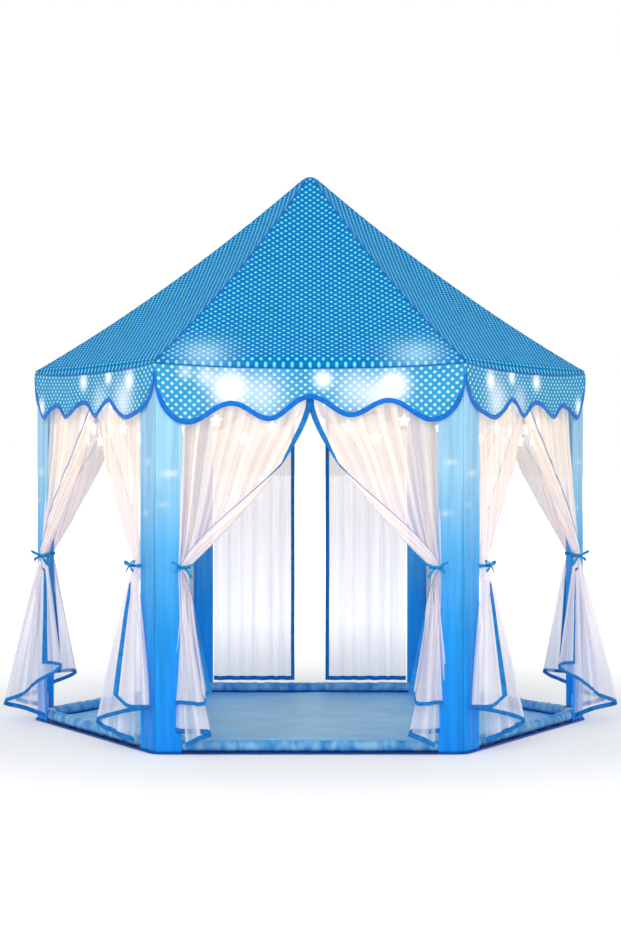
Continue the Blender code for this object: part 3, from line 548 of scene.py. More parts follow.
def cloth_grid(name, columns, rows, point_at, flat_at, turn_over=False, marks=None):
    """A sheet from a point for each (across, down) share, with the flat cut's metres as its cloth UVs.

    Where marks gives a number for each share, the sheet carries it as its fold attribute.
    """
    shares = [(column / columns, row / rows) for row in range(rows + 1) for column in range(columns + 1)]
    width = columns + 1
    faces = []
    for row in range(rows):
        for corner in range(row * width, row * width + columns):
            ring = (corner, corner + width, corner + width + 1, corner + 1)
            faces.append(ring[::-1] if turn_over else ring)
    mesh = bpy.data.meshes.new(name)
    mesh.from_pydata([point_at(*share) for share in shares], [], faces)
    flat = mesh.uv_layers.new(name="cloth")
    places = [flat_at(*share) for share in shares]
    for loop, vertex in zip(flat.data, mesh.loops):
        loop.uv = places[vertex.vertex_index]
    if marks:
        mark(mesh, "fold", [marks(*share) for share in shares])
    mesh.shade_smooth()
    return mesh


def joined(name, meshes, weld=0.0):
    """One mesh from several, with the vertices that meet made one."""
    work = bmesh.new()
    for mesh in meshes:
        work.from_mesh(mesh)
        bpy.data.meshes.remove(mesh)
    if weld:
        bmesh.ops.remove_doubles(work, verts=work.verts, dist=weld)
    return from_work(name, work)


def six_sided(name, made_at, weld=0.0):
    """One mesh from a piece for each side, made as for the front and turned to its own side."""
    pieces = [made_at(number) for number in range(SIDES)]
    for number, piece in enumerate(pieces):
        piece.transform(side_turn(number))
    return joined(name, pieces, weld)


def thicken(cloth, thickness, offset=-1.0):
    skin = cloth.modifiers.new("cloth", "SOLIDIFY")
    skin.thickness = thickness
    skin.offset = offset


def mixed(tree, share, first, second):
    """The first colour where the share is 0, and the second where it is 1."""
    mix = put(tree, "Mix", data_type="RGBA")
    return wire(mix, {"Factor": share, "A": first, "B": second}).outputs["Result"]


def painted(tree, name):
    return put(tree, "Attribute", attribute_name=name).outputs["Fac"]


def flat_cut(tree):
    return put(tree, "UVMap", uv_map="cloth")


def weave_bump(tree, shader, thread, strength, creases, crease_scale):
    """The threads of a cloth as a fine bump, over soft creases, whose noise is given back."""
    flat = flat_cut(tree)
    across, down = (
        put(tree, "TexWave", flat, math.tau / thread / 20, bands_direction=way).outputs["Fac"] for way in "XY"
    )
    threads = put(tree, "Math", across, down, operation="MAXIMUM")
    crumple = put(tree, "TexNoise", object_place(tree), None, crease_scale, 4.0, 0.55)
    soft = bumped(tree, crumple, creases, 0.7)
    wire(shader, {"Normal": bumped(tree, threads, thread / 4, strength, soft)})
    return crumple


def dotted_polyester(name, ground, dot, lit):
    """Blue polyester with staggered pale dots, painted paler where a lamp shines through it from behind."""
    made, tree, shader = new_finish(name, ground, 0.75, 0.04)
    cells = put(tree, "VectorMath", flat_cut(tree), (1 / DOT_PITCH, 1 / DOT_PITCH, 0), operation="MULTIPLY")
    away = []
    for shift in (0.0, 0.5):
        moved = put(tree, "VectorMath", cells, (shift, shift, 0), operation="ADD")
        part = put(tree, "VectorMath", moved, operation="FRACTION")
        middle = put(tree, "VectorMath", part, (0.5, 0.5, 0), operation="SUBTRACT")
        away.append(put(tree, "VectorMath", middle, operation="LENGTH").outputs["Value"])
    edge = DOT_RADIUS / DOT_PITCH
    nearest = put(tree, "Math", *away, operation="MINIMUM")
    spot = put(tree, "MapRange", nearest, edge * 1.08, edge * 0.92, 0.0, 1.0)
    # The crease noise also sets the colour: painted shade in the creases' hollows and painted light on their
    # tops.
    patches = weave_bump(tree, shader, THREAD, 0.25, 0.0012, 34.0)
    shade = put(tree, "MapRange", patches, 0.3, 0.7, 0.90, 1.08)
    glow = painted(tree, "glow")
    pale = mixed(tree, glow, shaded(tree, mixed(tree, spot, ground, dot), shade), lit)
    # A faint painted glow lies over the whole cloth, and is brighter where the painted lamplight falls.
    shine = put(tree, "MapRange", glow, 0.0, 1.0, 0.05, 0.60)
    wire(shader, {"Base Color": pale, "Emission Color": pale, "Emission Strength": shine})
    return made


def light_through(mesh, lamps, glow_of=lambda total: min(1.0, total)):
    """Marks how brightly lamps behind a cloth shine through it, from (place, reach, power) for each."""
    mark(mesh, "glow", [
        glow_of(sum(
            power * math.exp(-((vertex.co - place).length / reach) ** 2) for place, reach, power in lamps
        ))
        for vertex in mesh.vertices
    ])


def gore_point(across, down):
    """A point of the front gore, which sags between its hips and puckers along its seams."""
    radius = ACROSS_CORNERS / 2 * max(down, 0.0001)
    side = 2 * across - 1
    middle = 1 - side * side
    belly = math.sin(math.pi * down) ** 0.8 * middle
    seam = math.exp(-(1 - abs(side)) * radius / PUCKER_REACH)
    pucker = seam * math.sin(radius / PUCKER_PITCH + 3 * side) * min(1, down * 4)
    drag = ripple_at(side * radius * 9, down * 4.5, 1.7) * middle
    sink = GORE_SAG * belly + PUCKER_RISE * pucker + DRAG_SAG * drag * math.sin(math.pi * down)
    fold = max(0.0, (down - 1 + EAVE_FOLD_SHARE) / EAVE_FOLD_SHARE)
    sink += eave_dip(side) * fold ** 4
    return on_face(0, side * radius / 2, radius * HALF_COS, cover_height(radius) - sink)


def gore_flat(across, down):
    return ((across - 0.5) * ACROSS_CORNERS / 2 * down, -GORE_LENGTH * down)


def swept(name, route, cross, up, taper=lambda share: 1.0):
    """A bar of one (sideways, up) cross-section along a route, with an up direction for each point."""
    rings = []
    last = len(route) - 1
    for index, place in enumerate(route):
        ahead = (route[min(index + 1, last)] - route[max(index - 1, 0)]).normalized()
        rise = (up[index] - ahead * up[index].dot(ahead)).normalized()
        side = ahead.cross(rise)
        size = taper(index / last)
        rings.append([place + side * x * size + rise * y * size for x, y in cross])
    mesh = lofted(name, rings)
    mesh.set_sharp_from_angle(angle=math.radians(50))
    return mesh


def tape_finish(name, colour, bright):
    """Folded satin binding: long threads, soft darker patches, and a sheen."""
    made, tree, shader = new_finish(name, colour, 0.45, 0.20)
    where = object_place(tree)
    patches = put(tree, "TexNoise", where, None, 70.0, 3.0)
    tint = shaded(tree, colour, put(tree, "MapRange", patches, 0.32, 0.68, 0.80, bright))
    thread = put(tree, "TexNoise", where, None, 1500.0, 2.0)
    wire(shader, {"Base Color": tint, "Normal": bumped(tree, thread, 0.0002, 0.3)})
    return made


# The roof and the valances are one cloth painted in two tones: darker here on the roof, as painted shade.
roof_polyester = dotted_polyester(
    "dotted_roof_polyester", (0.0005, 0.222, 0.60), (0.24, 0.80, 0.95), (0.66, 0.94, 0.92),
)
roof_mesh = six_sided(
    "roof_canopy", lambda number: cloth_grid("gore", GORE_COLUMNS, GORE_ROWS, gore_point, gore_flat), WELD,
)
corner_lights = []
for number in (FACES.index("front"), BACK):
    for side in (-1, 1):
        place = on_face(number, side * LIGHT_ALONG, COVER_FLAT - LIGHT_IN, EAVE_HEIGHT + LIGHT_OVER)
        corner_lights.append((place, LIGHT_REACH, LIGHT_POWER))
light_through(roof_mesh, corner_lights)
roof = shown("roof_canopy", roof_mesh, roof_polyester)
thicken(roof, CLOTH_SKIN)
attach(roof, "root")
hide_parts("roof_cover")

seam_finish = tape_finish("sewn_seam", (0.001, 0.16, 0.58), 1.10)
half_seam = HIP_SEAM_WIDTH / 2
seam_cross = [
    (-half_seam, -HIP_SEAM_RISE), (half_seam, -HIP_SEAM_RISE), (half_seam, 0),
    (half_seam / 2, HIP_SEAM_RISE * 0.7), (0, HIP_SEAM_RISE), (-half_seam / 2, HIP_SEAM_RISE * 0.7),
    (-half_seam, 0),
]
seams = []
for number in range(SIDES):
    trail = []
    for step in range(SEAM_STEPS + 1):
        radius = SEAM_START + (ACROSS_CORNERS / 2 - SEAM_START - SEAM_END_GAP) * step / SEAM_STEPS
        lift = HIP_SEAM_PUCKER * math.sin(radius / PUCKER_PITCH) - HIP_SEAM_RISE * 0.4
        trail.append(spoke(FIRST_CORNER + number * STEP) * radius + UP * (cover_height(radius) + lift))
    seams.append(swept("seam", trail, seam_cross, [UP] * len(trail)))
hip_seams = shown("hip_seams", joined("hip_seams", seams), seam_finish)
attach(hip_seams, "root")
# A thin dark strip runs along each eave: partly the real seam, and partly painted shadow under the cover's
# turn.
seams = []
for number in range(SIDES):
    trail = []
    for step in range(SEAM_STEPS + 1):
        share = EAVE_SEAM_SHARE * (2 * step / SEAM_STEPS - 1)
        height = EAVE_HEIGHT - eave_dip(share) + EAVE_SEAM_LIFT
        trail.append(on_face(number, share * HALF_SIDE, COVER_FLAT + EAVE_SEAM_LIFT, height))
    narrow_cross = [(x * EAVE_SEAM_SIZE, y) for x, y in seam_cross]
    seams.append(swept("seam", trail, narrow_cross, [on_face(number, 0, 1, 0.6)] * len(trail)))
eave_seam_and_shadow = shown("eave_seams", joined("eave_seams", seams), seam_finish)
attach(eave_seam_and_shadow, "root")

# Valances
# A scalloped flap hangs from each side of the cover, cut from the same dotted cloth, with rounded ends that
# leave the corners free. Satin binding is folded over its stitched lower edge, and the hem flutters a little.

# Drops of a flap's four lobes and of the three crests between them, from its left end as seen from outside,
# and where those lobes and crests are along it, from -1 to 1
FLAP_CUTS = {
    "front": ((0.1435, 0.1360, 0.1275, 0.1375), (0.1015, 0.0864, 0.0950)),
    "front_left": ((0.1240, 0.1225, 0.1235, 0.1300), (0.0946, 0.0906, 0.0875)),
    "front_right": ((0.1300, 0.1235, 0.1225, 0.1240), (0.0875, 0.0906, 0.0946)),
    "back": ((0.1375, 0.1290, 0.1340, 0.1400), (0.0940, 0.0875, 0.0980)),
    "back_left": ((0.1340, 0.1300, 0.1285, 0.1330), (0.0900, 0.0850, 0.0870)),
    "back_right": ((0.1325, 0.1290, 0.1310, 0.1345), (0.0860, 0.0860, 0.0905)),
}
EVEN_PLACES = ((-0.78, -0.262, 0.262, 0.78), (-0.505, 0.0, 0.505))
FLAP_PLACES = {
    "front_left": ((-0.847, -0.419, 0.104, 0.591), (-0.579, -0.100, 0.324)),
    "front_right": ((-0.591, -0.104, 0.419, 0.847), (-0.324, 0.100, 0.579)),
}
CUSP_PLACE = 0.324
END_RISE = 0.80
CORNER_DROP = 0.024
CORNER_ROUND = 0.077
LONGEST_DROP = 0.1435
FLAP_END_GAP = 0.0004
FLAP_COLUMNS, FLAP_ROWS = 200, 20
BINDING_WIDTH = 0.0108
BINDING_HALF_THICKNESS = 0.0011
BINDING_FOLD = 0.0008
BINDING_STEPS = 420
FLUTTER = 0.0085
FLAP_STAND_OFF = 0.0006
FLAP_CREASE = 0.0018
CORNER_RAY, CORNER_RAY_REACH = 0.0016, 0.040
TOP_PUCKER, TOP_PUCKER_REACH = 0.0007, 0.03
STITCH_PITCH = 0.0042
STITCH_LENGTH = 0.0026
STITCH_RADIUS = 0.00028
STITCH_LIFT = 0.0003
STITCH_INSET = 0.0022
SEAM_STITCH_DROP = 0.0125
SEAM_STITCH_SHARE = 0.93
SEAM_STITCH_STEPS = 400
AREA_STEPS = 200
# Lamps that shine through a flap: along the side, under the eave, how far they spread, and how brightly
FRONT_LAMPS = (
    (-0.181, 0.062, 0.033, 1.15), (-0.235, 0.034, 0.020, 0.40), (-0.107, 0.078, 0.046, 0.34),
    (-0.28, 0.026, 0.014, 0.35), (0.029, 0.043, 0.016, 1.10), (0.105, 0.066, 0.044, 0.34),
    (0.188, 0.056, 0.028, 1.10), (0.150, 0.082, 0.030, 0.40),
)
SIDE_LAMPS = (
    (-0.301, 0.092, 0.018, 0.95), (-0.039, 0.036, 0.017, 1.00), (0.105, 0.030, 0.014, 1.00),
    (0.222, 0.040, 0.018, 1.00), (0.190, 0.088, 0.046, 0.50), (0.060, 0.088, 0.036, 0.30),
)


def edge_drop(face, share):
    """How far a flap's lower edge hangs under the eave's corners, from -1 to 1 along its side."""
    lobes, crests = FLAP_CUTS[face]
    lobe_places, crest_places = FLAP_PLACES.get(face, EVEN_PLACES)
    cuts = sorted([*zip(lobe_places, lobes), *zip(crest_places, crests)])
    rise = END_RISE if face in FLAP_PLACES else 1.0
    cuts = [(-1.0, lobes[0] * rise), *cuts, (1.0, lobes[-1] * rise)]
    before, after = next((b, a) for b, a in zip(cuts, cuts[1:]) if share <= a[0] + 1e-9)
    run = (share - before[0]) / (after[0] - before[0])
    ease = (1 - math.cos(math.pi * run)) / 2
    if face in FLAP_PLACES and before[0] == CUSP_PLACE:
        ease = math.sin(math.pi / 2 * run)
    if face in FLAP_PLACES and after[0] == -CUSP_PLACE:
        ease = 1 - math.cos(math.pi / 2 * run)
    drop = before[1] + (after[1] - before[1]) * ease
    room = (1 - abs(share)) * HALF_SIDE
    if room < CORNER_ROUND:
        bow = math.sqrt(max(0.0, 1 - (1 - room / CORNER_ROUND) ** 2)) ** 0.86
        drop = CORNER_DROP + (drop - CORNER_DROP) * bow
    return drop


def flap_out(share, drop, phase):
    """How far a flap stands off its plane: more towards the hem, in slow waves, and creased at its ends."""
    fall = min(1.0, drop / LONGEST_DROP)
    sway = 0.5 - 0.5 * math.cos(math.pi * 4 * share + 0.5 * math.sin(2.3 * share + phase))
    lean = 0.5 + 0.5 * ripple_at(share * 1.9, 0.3, phase * 3)
    waves = FLUTTER * (0.75 * sway + 0.5 * lean) * fall ** 1.5 * (1 - share ** 6)
    room = (1 - abs(share)) * HALF_SIDE
    rays = math.sin(9 * math.atan2(drop, room + 0.001)) * math.exp(-math.hypot(room, drop) / CORNER_RAY_REACH)
    creases = FLAP_CREASE * ripple_at(share * 7, drop * 22, phase) * fall
    top = TOP_PUCKER * ripple_at(share * 34, drop * 60, phase + 3) * math.exp(-drop / TOP_PUCKER_REACH)
    return waves + creases + (CORNER_RAY * rays + top) * min(1.0, drop / 0.01) + FLAP_STAND_OFF


def even_share(across):
    """Places of a flap's columns, closer together towards its two rounded ends."""
    even = 2 * across - 1
    return even + (math.sin(math.pi / 2 * even) - even) * 0.45


def tape_size(share):
    """How full the binding is, which thins out at both ends of a flap."""
    return min(1.0, 0.35 + 25 * min(share, 1 - share))


def stitch_along(trail, lift, outward):
    """Adds a stitch at each pitch along a trail, lifted towards the cloth's face by lift(index)."""
    travelled = 0.0
    for i in range(1, len(trail)):
        travelled += (trail[i] - trail[i - 1]).length
        if travelled >= STITCH_PITCH:
            travelled = 0.0
            ahead = (trail[i] - trail[i - 1]).normalized()
            stitch_places.append(trail[i] + lift(i))
            stitch_turns.append(tuple(Matrix((ahead, outward.cross(ahead), outward)).transposed().to_euler()))


# The valances' copy of the roof's cloth is painted lighter, with whiter lamplight, as painted light.
valance_polyester = dotted_polyester(
    "dotted_valance_polyester", (0.045, 0.375, 0.72), (0.56, 0.93, 0.95), (1.0, 0.99, 0.94),
)
binding_finish = tape_finish("blue_binding", (0.001, 0.195, 0.76), 1.15)
half_tape, tape_shoulder, half_ridge = BINDING_HALF_THICKNESS, BINDING_WIDTH - BINDING_FOLD, BINDING_FOLD / 2
tape_cross = [
    (-half_tape, 0.0005), (-half_tape, tape_shoulder), (-half_ridge, BINDING_WIDTH),
    (half_ridge, BINDING_WIDTH), (half_tape, tape_shoulder), (half_tape, 0.0005), (0, -BINDING_FOLD),
]
stitch_places, stitch_turns = [], []
for number, face in enumerate(FACES):
    phase = 1.3 * number + 0.4

    def flap_at(share, drop):
        out = COVER_FLAT + flap_out(share, drop, phase)
        return on_face(number, share * (HALF_SIDE - FLAP_END_GAP), out, EAVE_HEIGHT - drop)

    def flap_point(across, down):
        share = even_share(across)
        top = eave_dip(share)
        return flap_at(share, top + (edge_drop(face, share) - top) * down)

    def flap_flat(across, down):
        share = even_share(across)
        return (share * HALF_SIDE, -GORE_LENGTH - edge_drop(face, share) * down)

    flap_mesh = cloth_grid(f"valance_{face}", FLAP_COLUMNS, FLAP_ROWS, flap_point, flap_flat)
    turn_round = -1 if face in ("front_right", "back_left", "back") else 1
    lamps = [
        (on_face(number, turn_round * along, COVER_FLAT, EAVE_HEIGHT - drop), reach, power)
        for along, drop, reach, power in (FRONT_LAMPS if face in ("front", "back") else SIDE_LAMPS)
    ]
    light_through(flap_mesh, lamps, lambda total: 1 - math.exp(-1.6 * total))
    flap = shown(f"valance_{face}", flap_mesh, valance_polyester)
    thicken(flap, CLOTH_SKIN)
    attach(flap, "root")
    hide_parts("roof_cover")
    outward = on_face(number, 0, 1, 0)
    steps = range(BINDING_STEPS + 1)
    edge = [flap_point(step / BINDING_STEPS, 1.0) - outward * CLOTH_SKIN / 2 for step in steps]
    runs = [edge[min(step + 1, BINDING_STEPS)] - edge[max(step - 1, 0)] for step in steps]
    inward = [outward.cross(run.normalized()) for run in runs]
    bar = swept("binding", edge, tape_cross, inward, tape_size)
    binding = shown(f"valance_binding_{face}", bar, binding_finish)
    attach(binding, "root")
    over_tape = outward * (BINDING_HALF_THICKNESS + 0.0001)
    stitch_along(edge, lambda i: inward[i] * (BINDING_WIDTH - STITCH_INSET) + over_tape, outward)
    seam_line = []
    for step in range(SEAM_STITCH_STEPS + 1):
        share = SEAM_STITCH_SHARE * (2 * step / SEAM_STITCH_STEPS - 1)
        seam_line.append(flap_at(share, eave_dip(share) + SEAM_STITCH_DROP))
    stitch_along(seam_line, lambda i: outward * STITCH_LIFT, outward)
    drops = [edge_drop(face, 2 * (step + 0.5) / AREA_STEPS - 1) for step in range(AREA_STEPS)]

work = bmesh.new()
stitch_size = Matrix.Diagonal((STITCH_LENGTH / 2, STITCH_RADIUS, STITCH_RADIUS, 1))
lengthwise = Matrix.Rotation(math.pi / 2, 4, "Y")
bmesh.ops.create_uvsphere(work, u_segments=6, v_segments=4, radius=1.0, matrix=stitch_size @ lengthwise)
stitch = shown("stitch", from_work("stitch", work))
thread_finish = tape_finish("sewing_thread", (0.004, 0.16, 0.62), 1.2)
stitches = repeated("valance_stitches", stitch, stitch_places, stitch_turns, thread_finish)
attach(stitches, "root")

# Corner sleeves
# A strip of plain bright taffeta wraps each corner of the frame from the eave to the ground. It is sewn to
# the cover above and to the mat below, hangs in soft upright folds, and is hemmed along both edges.

HALF_SIN = math.sin(STEP / 2)
SLEEVE_ARM = 0.0725
DOORWAY_ARM = 0.0610
SLEEVE_TOP = 0.8785
SLEEVE_FOOT = 0.0018
SLEEVE_FLAT = 0.604418
SLEEVE_RIDGE_INSET = 0.0006
SLEEVE_RIDGE_ROUND, SLEEVE_RIDGE_REACH = 0.0034, 0.008
SLEEVE_BODY, SLEEVE_FOLD, SLEEVE_RUFFLE = 0.0012, 0.0011, 0.0009
SLEEVE_COLUMNS, SLEEVE_ROWS, SLEEVE_HEM_COLUMNS = 56, 150, 6
SLEEVE_HEM = 0.009
SLEEVE_HEM_SHARE = SLEEVE_HEM / SLEEVE_ARM / 2
SLEEVE_HEM_LAYERS = 2.4
# Lamps that shine through a sleeve: along it from the ridge, height, how far they spread, and how brightly
SLEEVE_LAMPS = (
    (0.030, 0.630, 0.007, 0.75), (-0.030, 0.655, 0.006, 0.55), (0.016, 0.560, 0.005, 0.40),
    (-0.040, 0.540, 0.006, 0.45),
)


def height_share(tree, where):
    """From 0 at the ground to 1 at the eave."""
    return put(tree, "MapRange", put(tree, "SeparateXYZ", where).outputs["Z"], 0.0, 0.88, 0.0, 1.0)


taffeta, tree, shader = new_finish("bright_blue_taffeta", (0.03, 0.36, 0.92), 0.45, 0.22)
stretched = put(tree, "Mapping", flat_cut(tree), None, None, (42.0, 2.6, 1.0))
# Stretched noise streaks are painted shade in the taffeta's upright creases.
crease_shade_streaks = put(tree, "TexNoise", stretched, None, 1.0, 3.0, 0.6)
# Painted light: the taffeta is painted lighter towards the eave, where the star lights inside shine on it,
# and deeper blue near the ground.
lamplit_height_tone = toned(
    tree, height_share(tree, object_place(tree)), (0.0, (0.001, 0.28, 0.92)), (1.0, (0.36, 0.68, 0.93)),
    (0.30, (0.010, 0.35, 0.93)), (0.52, (0.10, 0.49, 0.94)), (0.72, (0.36, 0.69, 0.95)),
)
tint = shaded(tree, lamplit_height_tone, put(tree, "MapRange", crease_shade_streaks, 0.30, 0.70, 0.78, 1.18))
lit = mixed(tree, painted(tree, "glow"), tint, (0.90, 0.97, 1.0))
# A faint emission over the whole sleeve is painted light.
wire(shader, {"Base Color": lit, "Emission Color": lit, "Emission Strength": 0.06})
weave_bump(tree, shader, 0.0005, 0.2, 0.0010, 22.0)


def clamped(share):
    return min(1.0, max(0.0, share))


def sleeve_point(across, down, phase, arms):
    """A point of the sleeve round the corner on +X: two arms in the planes of the sides, waved upright."""
    side = 2 * across - 1
    reach = abs(side) * arms[side > 0]
    ridge = Vector((SLEEVE_FLAT / HALF_COS - SLEEVE_RIDGE_INSET, 0))
    way = Vector((-HALF_SIN, math.copysign(HALF_COS, side)))
    inward = Vector((-HALF_COS, -math.copysign(HALF_SIN, side)))
    rounded = SLEEVE_RIDGE_ROUND * math.exp(-(reach / SLEEVE_RIDGE_REACH) ** 2)
    height = SLEEVE_TOP + (SLEEVE_FOOT - SLEEVE_TOP) * down
    folds = math.sin(reach * 150 + 2.4 * ripple_at(side, height * 2.6, phase) + phase)
    free = math.sin(math.pi * clamped(height / 0.87)) ** 0.4
    depth = SLEEVE_BODY + SLEEVE_FOLD * folds * min(1.0, reach / 0.02) * free
    depth += SLEEVE_RUFFLE * ripple_at(across * 5, height * 9, phase + 4) * free
    flat_place = ridge + way * reach + inward * (max(0.0, depth) + rounded)
    return Vector((flat_place.x, flat_place.y, height))


def sleeve_glow(place):
    """How brightly the lamps shine through the sleeve round the corner on +X, in wide flat spots."""
    return min(1.0, sum(
        power * math.exp(-(((place.y - along) / (2.2 * reach)) ** 2 + ((place.z - height) / reach) ** 2))
        for along, height, reach, power in SLEEVE_LAMPS
    ))


def sleeve_strip(name, columns, low, high, point_at, flat_at):
    """The strip of a sleeve between two shares of its width."""
    return cloth_grid(
        name, columns, SLEEVE_ROWS, lambda across, down: point_at(low + (high - low) * across, down),
        lambda across, down: flat_at(low + (high - low) * across, down), turn_over=True,
    )


def hem_flat(across, down):
    return ((2 * across - 1) * SLEEVE_ARM, -down)


for number, corner in enumerate(CORNERS):
    phase = 2.1 * number
    arms = [DOORWAY_ARM if corner == doorway else SLEEVE_ARM for doorway in ("front_right", "front_left")]

    def point_at(across, down):
        return sleeve_point(across, down, phase, arms)

    def flat_at(across, down):
        return ((2 * across - 1) * arms[across > 0.5], -down * (SLEEVE_TOP - SLEEVE_FOOT))

    strip = sleeve_strip(f"sleeve_{corner}", SLEEVE_COLUMNS, 0.0, 1.0, point_at, flat_at)
    hems = [
        sleeve_strip("hem", SLEEVE_HEM_COLUMNS, low, high, point_at, hem_flat)
        for low, high in ((0.0, SLEEVE_HEM_SHARE), (1 - SLEEVE_HEM_SHARE, 1.0))
    ]
    mark(strip, "glow", [sleeve_glow(vertex.co) for vertex in strip.vertices])
    turn = Matrix.Rotation(FIRST_CORNER + number * STEP, 4, "Z")
    strip.transform(turn)
    sleeve = shown(f"sleeve_{corner}", strip, taffeta)
    thicken(sleeve, CLOTH_SKIN)
    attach(sleeve, "root")
    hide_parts(f"corner_sleeve_{corner}")
    hem_mesh = joined("sleeve_hem", hems)
    hem_mesh.transform(turn)
    sleeve_hem = shown(f"sleeve_hems_{corner}", hem_mesh, taffeta)
    thicken(sleeve_hem, SLEEVE_HEM_LAYERS * CLOTH_SKIN, -0.55)
    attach(sleeve_hem, "root")

# Floor mat
# A six-sided sheet of light blue taffeta lies on the ground in shallow wrinkles. Its edge turns up and back
# round the ground tubes in a puffed, gathered hem, and a dark bound edge runs round it under the corners.

MAT_FLAT = 0.5868
MAT_HEIGHT = 0.0018
MAT_CELLS = 84
MAT_WRINKLE = 0.0046
WRINKLE_SEED = 3
MAT_EDGE_ROOM = 0.030
HEM_CENTRE_HEIGHT = 0.0152
HEM_RADIUS = 0.0128
HEM_HALF_LENGTH = 0.300
HEM_TURN = math.radians(345)
HEM_PUFF = 0.0026
HEM_LOWEST = 0.0012
HEM_COLUMNS, HEM_ROWS = 300, 26
EDGE_FLAT = 0.6085
EDGE_CORNER_ROUND = 0.040
EDGE_CORNER_STEPS, EDGE_SIDE_STEPS = 10, 24
EDGE_CORD_RADIUS = 0.0020
EDGE_WEB = 0.0205

mat_taffeta, tree, shader = new_finish("light_blue_taffeta", (0.22, 0.50, 0.82), 0.45, 0.25)
where = object_place(tree)
level_place = put(tree, "VectorMath", where, (1, 1, 0), operation="MULTIPLY")
rim = put(tree, "VectorMath", level_place, operation="LENGTH").outputs["Value"]
# Painted shade: the mat is painted lighter in its middle and darker towards its rim.
rim_shade = put(tree, "MapRange", rim, 0.20, 0.64, 0.0, 1.0)
patch = put(tree, "TexNoise", put(tree, "Mapping", where, None, None, (1.0, 1.5, 1.0)), None, 6.0, 4.0, 0.6)
ground = mixed(tree, rim_shade, (0.37, 0.70, 0.90), (0.15, 0.53, 0.90))
wire(shader, {"Base Color": shaded(tree, ground, put(tree, "MapRange", patch, 0.30, 0.70, 0.86, 1.10))})
weave_bump(tree, shader, THREAD, 0.2, 0.0040, 20.0)

hem_taffeta, tree, shader = new_finish("gathered_hem_taffeta", (0.12, 0.38, 0.80), 0.45, 0.25)
height = put(tree, "SeparateXYZ", object_place(tree)).outputs["Z"]
# Painted shade: the hem, turned from the mat's own cloth, is painted darker than the mat, lighter on its
# puffs and darker in the gathers' creases.
puffed = mixed(tree, painted(tree, "fold"), (0.035, 0.30, 0.74), (0.26, 0.58, 0.86))
# It is painted darker still along its lower edge, as painted shade under the roll.
under_roll_shade = put(tree, "MapRange", height, 0.002, 0.012, 1.0, 0.0)
wire(shader, {"Base Color": mixed(tree, under_roll_shade, puffed, (0.002, 0.15, 0.72))})
weave_bump(tree, shader, THREAD, 0.2, 0.0012, 60.0)


def wrinkle(x, y):
    """Height of the shallow wrinkles of cloth that lies on the ground, from 0 to about 1."""
    warp = noise.noise_vector(Vector((x * 2.2, y * 2.2, WRINKLE_SEED))) * 0.16
    ridge = 1 - abs(ripple_at(x * 3.4 + warp.x, y * 5.1 + warp.y, WRINKLE_SEED + 5)) * 2.4
    fine_ridge = 1 - abs(ripple_at(x * 9 + warp.y, y * 12 - warp.x, WRINKLE_SEED + 9)) * 2.6
    return 0.68 * max(0.0, ridge) ** 2.2 + 0.32 * max(0.0, fine_ridge) ** 2


def mat_point(across, down):
    radius = MAT_FLAT / HALF_COS * max(down, 0.0001)
    return Vector(((2 * across - 1) * radius / 2, -radius * HALF_COS, MAT_HEIGHT))


def mat_wedge(_):
    """One side's sixth of the mat, whose cloth UVs hold how far out each point is until the mat is whole."""
    return cloth_grid("wedge", MAT_CELLS, MAT_CELLS, mat_point, lambda across, down: (down, 0))


def gathers(along, down, seed):
    """The puffs of the gathered hem, from 0 in a crease to 1 on a puff."""
    warp = 0.35 * ripple_at(along * 14, down * 2.0, seed + 8)
    broad = ripple_at(along * 46 + warp, down * 2.2 + warp, seed)
    return clamped(0.5 + 0.95 * broad + 0.45 * ripple_at(along * 120, down * 3.4, seed + 2))


def hem_point(across, down, seed):
    """A point of a side's hem: across runs along the side, and down goes round the ground tube."""
    along = (2 * across - 1) * HEM_HALF_LENGTH
    angle = -math.pi / 2 + HEM_TURN * down
    puff = gathers(along, down, seed) * math.sin(math.pi * clamped(down * 1.06)) ** 0.7
    radius = HEM_RADIUS + HEM_PUFF * puff
    height = max(HEM_LOWEST, HEM_CENTRE_HEIGHT + radius * math.sin(angle))
    return Vector((along, -FRAME_FLAT - radius * math.cos(angle), height))


def hem_roll(number):
    seed = number * 3.7
    return cloth_grid(
        "roll", HEM_COLUMNS, HEM_ROWS, lambda across, down: hem_point(across, down, seed),
        lambda across, down: (across * 2 * HEM_HALF_LENGTH, down * HEM_TURN * HEM_RADIUS), turn_over=True,
        marks=lambda across, down: gathers((2 * across - 1) * HEM_HALF_LENGTH, down, seed),
    )


mat_mesh = six_sided("mat", mat_wedge, WELD)
edge_rooms = {}
for loop, vertex in zip(mat_mesh.uv_layers["cloth"].data, mat_mesh.loops):
    edge_rooms[vertex.vertex_index] = (1 - loop.uv[0]) * MAT_FLAT
    loop.uv = mat_mesh.vertices[vertex.vertex_index].co.xy
# A fixed seed lays the mat in the same wrinkles in every run
noise.seed_set(WRINKLE_SEED)
for vertex in mat_mesh.vertices:
    calm = min(1.0, edge_rooms[vertex.index] / MAT_EDGE_ROOM)
    vertex.co.z += MAT_WRINKLE * wrinkle(vertex.co.x, vertex.co.y) * calm
mat = shown("mat", mat_mesh, mat_taffeta)
thicken(mat, CLOTH_SKIN)
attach(mat, "root")
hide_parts("floor_mat")
mat_hem = shown("mat_hem", six_sided("mat_hem", hem_roll), hem_taffeta)
thicken(mat_hem, CLOTH_SKIN)
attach(mat_hem, "root")
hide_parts("floor_mat")

